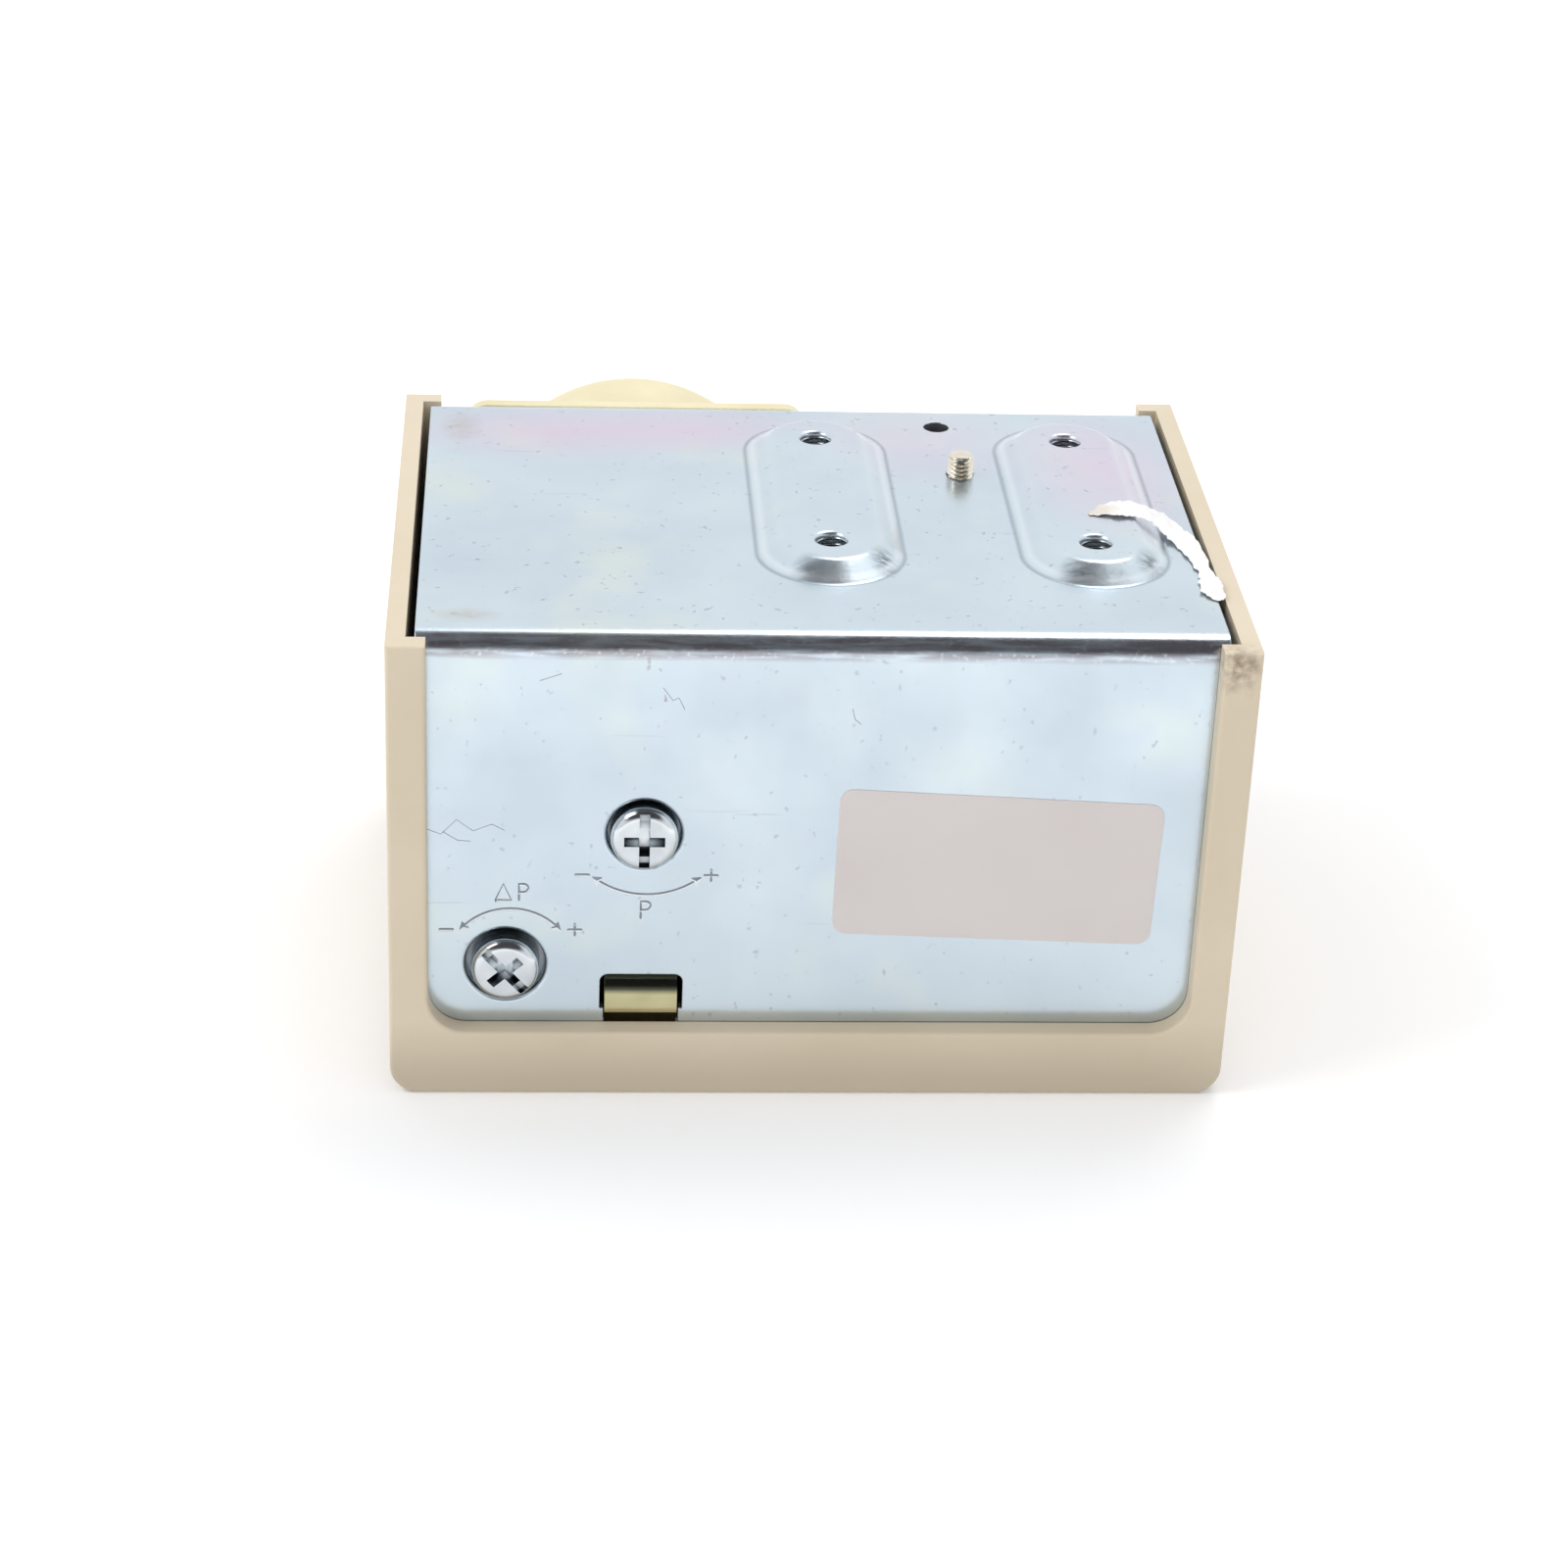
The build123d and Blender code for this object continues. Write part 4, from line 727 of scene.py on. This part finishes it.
# %% The housing screw with its thread
def edges(node):
    """The lowest and the highest corner of a solid, and its middle, in millimetres."""
    low, high = (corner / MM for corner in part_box(node))
    return low, high, (low + high) / 2


tip_low, tip_high, screw_middle = edges("housing_screw")
screw_place = (screw_middle.x, screw_middle.y)
head_height = 2.2
head_edge, head_face_share = 0.5, 0.86
m3_pitch = 0.5
m3_crest, m3_root = 1.5, 1.19
screw_thread = thread(
    "housing_screw_thread",
    screw_place,
    "Z",
    tip_low.z + head_height,
    tip_high.z,
    m3_crest,
    m3_root,
    m3_pitch,
    warm_zinc,
)
head_radius = (tip_high.x - tip_low.x) / 2
rings = [
    (0.0, tip_low.z),
    (head_radius * head_face_share, tip_low.z),
    (head_radius, tip_low.z + head_edge),
    (head_radius, tip_low.z + head_height),
    (m3_crest, tip_low.z + head_height),
    (0.0, tip_low.z + head_height),
]
screw_head = turned("housing_screw_head", rings, screw_place, "Z", warm_zinc)
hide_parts("housing_screw")
print("housing screw: thread to", round(tip_high.z, 2), "mm")

# %% [markdown]
# ## Threads of the tapped holes
#
# Each pad has two holes, flanged and tapped for M4. The same ridge repeats in all four, so it is
# made once as a Geometry Nodes tree: a helix swept with a small triangle, and copies of it on a
# grid of points. Realize Instances turns the copies into one mesh that the export can keep.

# %% Start, end and use of a Geometry Nodes tree
def node_tree(name, numbers, others):
    """An empty Geometry Nodes tree with named inputs, and its two end nodes."""
    tree = bpy.data.node_groups.new(name, "GeometryNodeTree")
    for way in ("INPUT", "OUTPUT"):
        tree.interface.new_socket("Geometry", in_out=way, socket_type="NodeSocketGeometry")
    for label, kind in [(label, "Float") for label in numbers] + others + [("Finish", "Material")]:
        tree.interface.new_socket(label, in_out="INPUT", socket_type="NodeSocket" + kind)
    return tree, add(tree, "NodeGroupInput"), add(tree, "NodeGroupOutput")


def close_tree(tree, shape, start, end):
    """The last steps of every tree: copies become real, and all faces get the finish."""
    real = add(tree, "GeometryNodeRealizeInstances", {0: shape})
    dressed = add(
        tree,
        "GeometryNodeSetMaterial",
        {"Geometry": real.outputs[0], "Material": start.outputs["Finish"]},
    )
    tree.links.new(dressed.outputs[0], end.inputs[0])


def grown(name, tree, values, material, paths=(), body=ROOT):
    """Runs a tree on flat paths in millimetres, and keeps the result as a plain mesh piece."""
    points = [(u * MM, v * MM, 0) for path in paths for u, v in path]
    links, first = [], 0
    for path in paths:
        links += [(first + k, first + k + 1) for k in range(len(path) - 1)]
        first += len(path)
    drawn = bpy.data.meshes.new(name + "_paths")
    drawn.from_pydata(points, links, [])
    holder = placed(name + "_tree", drawn)
    modifier = holder.modifiers.new("tree", "NODES")
    modifier.node_group = tree
    values = {**values, "Finish": material}
    for item in tree.interface.items_tree:
        if item.in_out == "INPUT" and item.name in values:
            modifier[item.identifier] = values[item.name]
    graph = bpy.context.evaluated_depsgraph_get()
    graph.update()
    mesh = bpy.data.meshes.new_from_object(holder.evaluated_get(graph))
    bpy.data.objects.remove(holder)
    mesh.name = name
    made = placed(name, mesh)
    if body:
        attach(made, body)
    print(name, "faces:", len(mesh.polygons))
    return made


print("tree helpers ready")

# %% Geometry Nodes: a thread ridge on a grid of holes
hole_tree, start, end = node_tree(
    "tapped_holes",
    ("Radius", "Pitch", "Turns", "Ridge", "Pitch across", "Pitch along"),
    [("Middle", "Vector")],
)
rise = add(
    hole_tree,
    "ShaderNodeMath",
    {0: start.outputs["Pitch"], 1: start.outputs["Turns"]},
    operation="MULTIPLY",
)
helix = add(
    hole_tree,
    "GeometryNodeCurveSpiral",
    {
        "Resolution": 32,
        "Rotations": start.outputs["Turns"],
        "Start Radius": start.outputs["Radius"],
        "End Radius": start.outputs["Radius"],
        "Height": rise.outputs[0],
    },
)
section = add(
    hole_tree,
    "GeometryNodeCurvePrimitiveCircle",
    {"Resolution": 3, "Radius": start.outputs["Ridge"]},
)
ridge = add(
    hole_tree,
    "GeometryNodeCurveToMesh",
    {"Curve": helix.outputs[0], "Profile Curve": section.outputs[0], "Fill Caps": True},
)
grid = add(
    hole_tree,
    "GeometryNodeMeshGrid",
    {
        "Size X": start.outputs["Pitch across"],
        "Size Y": start.outputs["Pitch along"],
        "Vertices X": 2,
        "Vertices Y": 2,
    },
)
shifted = add(
    hole_tree,
    "GeometryNodeTransform",
    {"Geometry": grid.outputs[0], "Translation": start.outputs["Middle"]},
)
copies = add(
    hole_tree,
    "GeometryNodeInstanceOnPoints",
    {"Points": shifted.outputs[0], "Instance": ridge.outputs[0]},
)
close_tree(hole_tree, copies.outputs[0], start, end)

m4_core = holes["dims"]["hole_r_mm"]
m4_pitch = 0.7
m4_turns = 3.0
thread_foot = 51.5
tapped_threads = grown(
    "tapped_hole_threads",
    hole_tree,
    {
        "Radius": m4_core * MM,
        "Pitch": m4_pitch * MM,
        "Turns": m4_turns,
        "Ridge": 0.17 * MM,
        "Pitch across": hole_across * MM,
        "Pitch along": hole_along * MM,
        "Middle": (*holes["pos_m"][:2], thread_foot * MM),
    },
    bright_zinc,
)

# %% [markdown]
# ## The springs and the bellows
#
# A compression spring is a wire wound on a helix, with a little over half a turn laid flat at
# both ends so that it stands square. One tree winds both: the Spiral gives the turns, and the
# height of each point is worked out again so that the ends stay flat. Each spring is two lengths
# of the same wire that meet in the middle. The solid's wire has six sides; this one has ten and
# is shaded round.

# %% Geometry Nodes: a wound spring with flat end turns
spring_tree, start, end = node_tree(
    "wound_spring",
    ("Coil radius", "Wire radius", "Turns", "Length", "Flat share", "Wire from", "Wire to"),
    [("Front", "Vector")],
)
turns_of_wire = add(
    spring_tree,
    "GeometryNodeCurveSpiral",
    {
        "Resolution": 28,
        "Rotations": start.outputs["Turns"],
        "Start Radius": start.outputs["Coil radius"],
        "End Radius": start.outputs["Coil radius"],
        "Height": start.outputs["Length"],
    },
)
along_wire = add(spring_tree, "GeometryNodeSplineParameter")
flat_end = add(
    spring_tree, "ShaderNodeMath", {0: 1.0, 1: start.outputs["Flat share"]}, operation="SUBTRACT"
)
climb = add(
    spring_tree,
    "ShaderNodeMapRange",
    {
        "Value": along_wire.outputs["Factor"],
        "From Min": start.outputs["Flat share"],
        "From Max": flat_end.outputs[0],
        "To Min": 0.0,
        "To Max": start.outputs["Length"],
    },
)
where_now = add(spring_tree, "GeometryNodeInputPosition")
split_place = add(spring_tree, "ShaderNodeSeparateXYZ", {0: where_now.outputs[0]})
lifted_place = add(
    spring_tree,
    "ShaderNodeCombineXYZ",
    {0: split_place.outputs[0], 1: split_place.outputs[1], 2: climb.outputs[0]},
)
wound = add(
    spring_tree,
    "GeometryNodeSetPosition",
    {"Geometry": turns_of_wire.outputs[0], "Position": lifted_place.outputs[0]},
)
cut = add(
    spring_tree,
    "GeometryNodeTrimCurve",
    {0: wound.outputs[0], 2: start.outputs["Wire from"], 3: start.outputs["Wire to"]},
)
wire_section = add(
    spring_tree,
    "GeometryNodeCurvePrimitiveCircle",
    {"Resolution": 10, "Radius": start.outputs["Wire radius"]},
)
wire = add(
    spring_tree,
    "GeometryNodeCurveToMesh",
    {"Curve": cut.outputs[0], "Profile Curve": wire_section.outputs[0], "Fill Caps": True},
)
laid_back = add(
    spring_tree,
    "GeometryNodeTransform",
    {
        "Geometry": wire.outputs[0],
        "Translation": start.outputs["Front"],
        "Rotation": (-pi / 2, 0, 0),
    },
)
close_tree(spring_tree, laid_back.outputs[0], start, end)
print("spring tree ready")

# %% Wind both springs
flat_turns = 0.6
for node, carrier, wire_radius, active_turns in (
    ("range_spring", "range_carrier", 0.9, 6), ("diff_spring", "diff_carrier", 0.55, 7)
):
    low, high, centre = edges(node)
    turns_in_all = active_turns + 2 * flat_turns
    front, middle, rear = (
        (centre.x * MM, along * MM, centre.z * MM)
        for along in (low.y + wire_radius, centre.y, high.y - wire_radius)
    )
    for half, share, bodies, ends in (
        ("front", (0.0, 0.5), (carrier, ROOT), (front, middle)),
        ("rear", (0.5, 1.0), (ROOT, "lever"), (middle, rear)),
    ):
        coil = grown(
            f"{node}_{half}",
            spring_tree,
            {
                "Coil radius": ((high.x - low.x) / 2 - wire_radius) * MM,
                "Wire radius": wire_radius * MM,
                "Turns": turns_in_all,
                "Length": rear[1] - front[1],
                "Flat share": flat_turns / turns_in_all,
                "Wire from": share[0],
                "Wire to": share[1],
                "Front": front,
            },
            spring_wire,
            body=None,
        )
        coil.data.polygons.foreach_set("use_smooth", [True] * len(coil.data.polygons))
        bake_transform(coil)
        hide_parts(node)

# %% [markdown]
# The bellows is a thin corrugated tube. A copy of its solid, welded and shaded round, takes its
# place.

# %% The bellows, made anew from a copy of its solid
solid_bellows = frame["nodes"]["bellows"]
folds = placed("bellows_folds", solid_bellows.data.copy())
face_outwards(folds.data, smooth=True, weld=0.001 * MM)
folds.data.materials.clear()
folds.data.materials.append(formed_bronze)
low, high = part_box("bellows")
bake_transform(folds)
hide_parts("bellows")
print("bellows faces:", len(folds.data.polygons))

# %% [markdown]
# ## The flare connector
#
# The port at the rear is a turned brass connector: a hexagon for the spanner, a 7/16-20 thread
# and a 45-degree cone that the flared tube is clamped on. The corners of the hexagon are cut by
# a cone as well, which the lathe does before the flats are milled.

# %% Hexagon, thread and cone of the connector
port_low, port_high, port_centre = edges("flare_connector")
hex_start, hex_end = 52.75, 58.75
hex_across = min(port_high.x - port_low.x, port_high.z - port_low.z)
corner_turn = 0.0 if port_high.x - port_low.x > port_high.z - port_low.z else pi / 6
hex_inner, neck_radius, neck_length = 4.5, 5.0, 0.4
unf_pitch, unf_crest, unf_root = 1.27, 5.55, 4.8
cone_start, cone_foot, cone_tip = 69.75, 5.1, 3.4
bore_radius, bore_bottom, bore_edge = 2.2, 54.0, 0.2
chamfer_depth, chamfer_slope = 0.15, 0.577


def hexagon(turn, level):
    """Radius of the hexagon at an angle, cut by the cones of its two chamfers."""
    from_flat = (turn - corner_turn + pi / 6) % (pi / 3) - pi / 6
    flat = hex_across / 2 / cos(pi / 6 - abs(from_flat))
    near_end = min(level - hex_start, hex_end - level)
    return min(flat, hex_across / 2 - chamfer_depth + near_end / chamfer_slope)


rounds = (0, 0.1, 0.25, 0.45, 0.7, 1.0)
hex_levels = [hex_start + step for step in rounds] + [hex_end - step for step in rounds[::-1]]
hex_profile = [(hexagon, level) for level in hex_levels]
hex_profile = [(hex_inner, hex_start), *hex_profile, (hex_inner, hex_end)]
thread_start = hex_end + neck_length
nose_profile = [
    (neck_radius, hex_end),
    (neck_radius, thread_start),
    (unf_root, thread_start),
    (unf_root, cone_start),
    (cone_foot, cone_start),
    (cone_tip, port_high.y),
    (bore_radius + bore_edge, port_high.y),
    (bore_radius, port_high.y - bore_edge),
    (bore_radius, bore_bottom),
    (0, bore_bottom),
]
port_middle = (port_centre.x, port_centre.z)
connector = [
    turned("connector_hexagon", hex_profile, port_middle, "Y", turned_brass, 96),
    thread(
        "connector_thread",
        port_middle,
        "Y",
        thread_start,
        cone_start,
        unf_crest,
        unf_root,
        unf_pitch,
        turned_brass,
        capped=False,
    ),
    turned("connector_nose", nose_profile, port_middle, "Y", turned_brass, 48),
]
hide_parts("flare_connector")
print("connector ends at", round(port_high.y, 2), "mm")

# %% [markdown]
# ## Stamped marks
#
# Two arcs with arrowheads show which way each screw turns toward minus and plus. On the real
# plate they are stamped lines a quarter of a millimetre wide: the groove looks dark, and its lower
# edge catches the light. One tree draws any set of lines on the plate. It takes the lines as
# edges, sweeps a bead along them, presses it flat, and sets an arrowhead on both ends if asked.

# %% Geometry Nodes: lines on the plate, with or without arrowheads
mark_tree, start, end = node_tree(
    "stamped_lines", ("Width", "Flatness", "Head"), [("Place", "Vector")]
)
path = add(mark_tree, "GeometryNodeMeshToCurve", {"Mesh": start.outputs["Geometry"]})
half_width = add(
    mark_tree, "ShaderNodeMath", {0: start.outputs["Width"], 1: 0.5}, operation="MULTIPLY"
)
bead = add(
    mark_tree,
    "GeometryNodeCurvePrimitiveCircle",
    {"Resolution": 8, "Radius": half_width.outputs[0]},
)
line = add(
    mark_tree,
    "GeometryNodeCurveToMesh",
    {"Curve": path.outputs[0], "Profile Curve": bead.outputs[0], "Fill Caps": True},
)
head = add(
    mark_tree,
    "GeometryNodeMeshCone",
    {
        "Vertices": 3,
        "Radius Top": half_width.outputs[0],
        "Radius Bottom": start.outputs["Head"],
        "Depth": start.outputs["Width"],
    },
)
ends = add(mark_tree, "GeometryNodeCurveEndpointSelection", {"Start Size": 1, "End Size": 1})
along = add(mark_tree, "GeometryNodeSplineParameter")
toward_end = add(
    mark_tree,
    "ShaderNodeMapRange",
    {"Value": along.outputs["Factor"], "To Min": -1.0, "To Max": 1.0},
)
tangent = add(mark_tree, "GeometryNodeInputTangent")
outward = add(
    mark_tree,
    "ShaderNodeVectorMath",
    {0: tangent.outputs[0], "Scale": toward_end.outputs[0]},
    operation="SCALE",
)
aim = add(mark_tree, "FunctionNodeAlignRotationToVector", {"Vector": outward.outputs[0]}, axis="X")
heads = add(
    mark_tree,
    "GeometryNodeInstanceOnPoints",
    {
        "Points": path.outputs[0],
        "Selection": ends.outputs[0],
        "Instance": head.outputs[0],
        "Rotation": aim.outputs[0],
    },
)
both = add(mark_tree, "GeometryNodeJoinGeometry", {0: line.outputs[0]})
mark_tree.links.new(heads.outputs[0], both.inputs[0])
flatten = add(mark_tree, "ShaderNodeCombineXYZ", {0: 1.0, 1: 1.0, 2: start.outputs["Flatness"]})
pressed = add(
    mark_tree, "GeometryNodeTransform", {"Geometry": both.outputs[0], "Scale": flatten.outputs[0]}
)
raised = add(
    mark_tree,
    "GeometryNodeTransform",
    {
        "Geometry": pressed.outputs[0],
        "Translation": start.outputs["Place"],
        "Rotation": (pi / 2, 0, 0),
    },
)
close_tree(mark_tree, raised.outputs[0], start, end)
print("line tree ready")


# %% [markdown]
# The arcs, signs and letters are flat paths in millimetres on the plate. Every path is drawn
# twice: once as the groove, and once a little lower as the edge that catches the light.

# %% The lines themselves
def bow(middle, radius, first, last, steps=16):
    """Points on an arc, with angles in degrees from the right."""
    turns = [radians(first + (last - first) * k / steps) for k in range(steps + 1)]
    return [(middle[0] + radius * cos(t), middle[1] + radius * sin(t)) for t in turns]


def letter_p(x, z, tall):
    """The symbol for a pressure, as one stroke."""
    bowl = bow((x + tall * 0.25, z + tall * 0.75), tall * 0.25, 90, -90, 8)
    return [(x, z), (x, z + tall), *bowl, (x, z + tall / 2)]


def minus_plus(left, right, z, reach):
    """A minus on the left and a plus on the right."""
    return [
        [(left - reach, z), (left + reach, z)],
        [(right - reach, z), (right + reach, z)],
        [(right, z - reach), (right, z + reach)],
    ]


arrows = [bow((-17.45, 31.3), 8.55, 233, 307), bow((-31.5, 14.5), 6.5, 138, 42)]
triangle = [(-33.0, 22.0), (-31.4, 22.0), (-32.2, 23.9), (-33.0, 22.0)]
signs = minus_plus(-24.1, -10.8, 25.05, 0.7) + minus_plus(-38.1, -24.8, 18.5, 0.7)
signs += [letter_p(-18.0, 19.9, 2.0), triangle, letter_p(-30.6, 22.0, 1.9)]
front_y = edges("case")[0].y
for name, paths, head_size in (("turn_arrows", arrows, 0.62), ("turn_signs", signs, 0.0)):
    for kind, drop, proud, paint in (
        ("groove", 0.0, 0.016, mark_shadow), ("lit_edge", 0.16, 0.014, mark_light)
    ):
        grown(
            f"{name}_{kind}",
            mark_tree,
            {
                "Width": 0.24 * MM,
                "Flatness": 0.12,
                "Head": head_size * MM,
                "Place": (0, (front_y - proud) * MM, -drop * MM),
            },
            paint,
            paths,
        )

# %% [markdown]
# The front has one long curved scratch left of the range screw, and short ones near the top. They
# are drawn by the same tree as hair-thin lines, dark where the tool dug in.

# %% Scratches on the front
scratches = [
    [(-40.3, 30.4), (-38.6, 29.7), (-37.0, 31.4), (-35.3, 30.1), (-33.4, 30.9), (-32.1, 30.2)],
    [(-38.4, 30.0), (-36.9, 29.0), (-35.6, 28.9)],
    [(-16.2, 46.6), (-15.2, 45.2), (-14.6, 45.5), (-14.0, 44.2)],
    [(3.0, 44.4), (3.3, 43.2), (3.9, 42.7)],
    [(-28.6, 47.3), (-26.4, 48.1)],
]
grown(
    "front_scratches",
    mark_tree,
    {"Width": 0.07 * MM, "Flatness": 0.2, "Head": 0.0, "Place": (0, (front_y - 0.008) * MM, 0)},
    mark_shadow,
    scratches,
)

# %% [markdown]
# ## Label and film
#
# A bare grey label sits to the right of the screws, stuck on a little askew. It is a thin slab
# with rounded corners, made ring by ring from its outline.

# %% The label
label_corners = [(2.19, 35.27), (35.89, 33.59), (35.42, 16.99), (1.91, 18.25)]
label_radius = 1.5
label_thickness = 0.09
corner_steps = 6
outline = []
for k, corner in enumerate(label_corners):
    corner = Vector(corner)
    before = (Vector(label_corners[k - 1]) - corner).normalized()
    after = (Vector(label_corners[(k + 1) % 4]) - corner).normalized()
    middle = corner + (before + after) * label_radius
    for step in range(corner_steps + 1):
        turn = pi / 2 * step / corner_steps
        outline.append(middle - (after * cos(turn) + before * sin(turn)) * label_radius)
count = len(outline)
rims = ((0.0, 0.01), (0.0, -label_thickness * 0.6), (0.06, -label_thickness))
centre = sum(outline, Vector((0, 0))) / count
verts = []
for inset, level in rims:
    for point in outline:
        moved = point + (centre - point).normalized() * inset
        verts.append((moved.x, front_y + level, moved.y))
faces = quads(len(rims), count) + [tuple(range(count)), tuple(range(2 * count, 3 * count))]
piece("front_label", verts, faces, grey_label)
print("label corners:", count)

# %% [markdown]
# A torn scrap of the protective film is left on the right pad and hangs over toward the edge of
# the plate. It is a strip between two torn edges, which are given as pairs of points. A fixed noise
# frays both edges and creases it, and Solidify gives it the thickness of a foil.

# %% The torn film
film_edges = [
    ((29.68, -3.25, 54.16), (29.83, -3.76, 54.16)),
    ((31.17, -1.43, 54.35), (31.49, -3.88, 54.30)),
    ((32.91, -0.92, 54.55), (32.68, -4.30, 54.40)),
    ((34.54, -0.68, 54.50), (33.74, -4.29, 54.35)),
    ((36.28, -1.33, 54.20), (34.91, -4.35, 54.25)),
    ((38.17, -1.06, 53.30), (36.48, -4.21, 53.60)),
    ((39.72, -2.73, 52.60), (37.63, -5.42, 52.80)),
    ((40.63, -4.50, 52.45), (38.43, -7.22, 52.50)),
    ((41.27, -6.51, 52.45), (39.17, -9.33, 52.45)),
    ((41.44, -10.88, 52.50), (39.70, -12.04, 52.45)),
    ((41.50, -13.84, 52.50), (40.07, -14.37, 52.50)),
    ((41.90, -15.89, 52.55), (39.82, -16.67, 52.50)),
    ((42.09, -17.93, 52.60), (39.53, -19.19, 52.55)),
    ((41.99, -19.87, 52.50), (40.28, -20.39, 52.50)),
    ((41.85, -20.86, 52.40), (41.08, -21.23, 52.40)),
]
film_lanes = 8
film_steps = 4
film_thickness = 0.04
film_rag = 0.45
film_crease = 0.22
rows = []
for (upper, lower), (next_upper, next_lower) in zip(film_edges, film_edges[1:]):
    for step in range(film_steps):
        share = step / film_steps
        rows.append(
            (
                Vector(upper).lerp(Vector(next_upper), share),
                Vector(lower).lerp(Vector(next_lower), share),
            )
        )
rows.append(tuple(Vector(edge) for edge in film_edges[-1]))
verts = []
# In both noises, the factors set how fast they change along and across the film.
for k, (upper, lower) in enumerate(rows):
    across = lower - upper
    for lane in range(film_lanes + 1):
        share = lane / film_lanes
        place = upper + across * share
        torn = noise.noise(Vector((k * 0.83, lane // film_lanes * 9.0, 4.1))) * film_rag
        place += across.normalized() * torn * abs(2 * share - 1)
        crease = abs(noise.noise(Vector((k * 0.31, lane * 0.55, 1.7)))) * film_crease
        verts.append((place.x, place.y, place.z + crease))
lanes = film_lanes + 1
faces = [
    (k * lanes + j, (k + 1) * lanes + j, (k + 1) * lanes + j + 1, k * lanes + j + 1)
    for k in range(len(rows) - 1)
    for j in range(film_lanes)
]
film = piece("film_remnant", verts, faces, film_scrap)
thicken = film.modifiers.new("thickness", "SOLIDIFY")
thicken.thickness = film_thickness * MM
print("film rows:", len(rows))

# %% [markdown]
# ## The scale under the window
#
# The nuts carry pointers that run in two slots of the scale plate. Ticks are printed beside the
# slots, every fifth one longer. They are one small bar, repeated along a line of points.

# %% Geometry Nodes: ticks beside a slot
ink_height = 0.05
long_every, long_tick = 5.0, 1.7
tick_tree, start, end = node_tree(
    "scale_ticks", ("Pitch", "Length", "Width"), [("Ticks", "Int"), ("First", "Vector")]
)
step = add(tick_tree, "ShaderNodeCombineXYZ", {1: start.outputs["Pitch"]})
row = add(
    tick_tree,
    "GeometryNodeMeshLine",
    {
        "Count": start.outputs["Ticks"],
        "Start Location": start.outputs["First"],
        "Offset": step.outputs[0],
    },
)
bar_size = add(
    tick_tree,
    "ShaderNodeCombineXYZ",
    {0: start.outputs["Length"], 1: start.outputs["Width"], 2: ink_height * MM},
)
bar = add(tick_tree, "GeometryNodeMeshCube", {"Size": bar_size.outputs[0]})
order = add(tick_tree, "GeometryNodeInputIndex")
fifth = add(tick_tree, "ShaderNodeMath", {0: order.outputs[0], 1: long_every}, operation="MODULO")
small = add(tick_tree, "ShaderNodeMath", {0: fifth.outputs[0], 1: 0.5}, operation="GREATER_THAN")
stretch = add(
    tick_tree, "ShaderNodeMapRange", {"Value": small.outputs[0], "To Min": long_tick, "To Max": 1.0}
)
bar_scale = add(tick_tree, "ShaderNodeCombineXYZ", {0: stretch.outputs[0], 1: 1.0, 2: 1.0})
bars = add(
    tick_tree,
    "GeometryNodeInstanceOnPoints",
    {"Points": row.outputs[0], "Instance": bar.outputs[0], "Scale": bar_scale.outputs[0]},
)
close_tree(tick_tree, bars.outputs[0], start, end)
print("tick tree ready")

# %% Print the ticks beside both slots
scale_bottom = edges("scale_plate")[0].z
slot_middle_y = -18.0
beside_slot = 3.6
tick_count = 11
tick_pitch = 0.8
for name, slot_x in (("pressure_scale_ticks", -17.8), ("differential_scale_ticks", -32.0)):
    grown(
        name,
        tick_tree,
        {
            "Ticks": tick_count,
            "Pitch": tick_pitch * MM,
            "Length": 1.6 * MM,
            "Width": 0.2 * MM,
            "First": (
                (slot_x + beside_slot) * MM,
                (slot_middle_y - tick_pitch * (tick_count - 1) / 2) * MM,
                scale_bottom * MM,
            ),
        },
        scale_ink,
    )
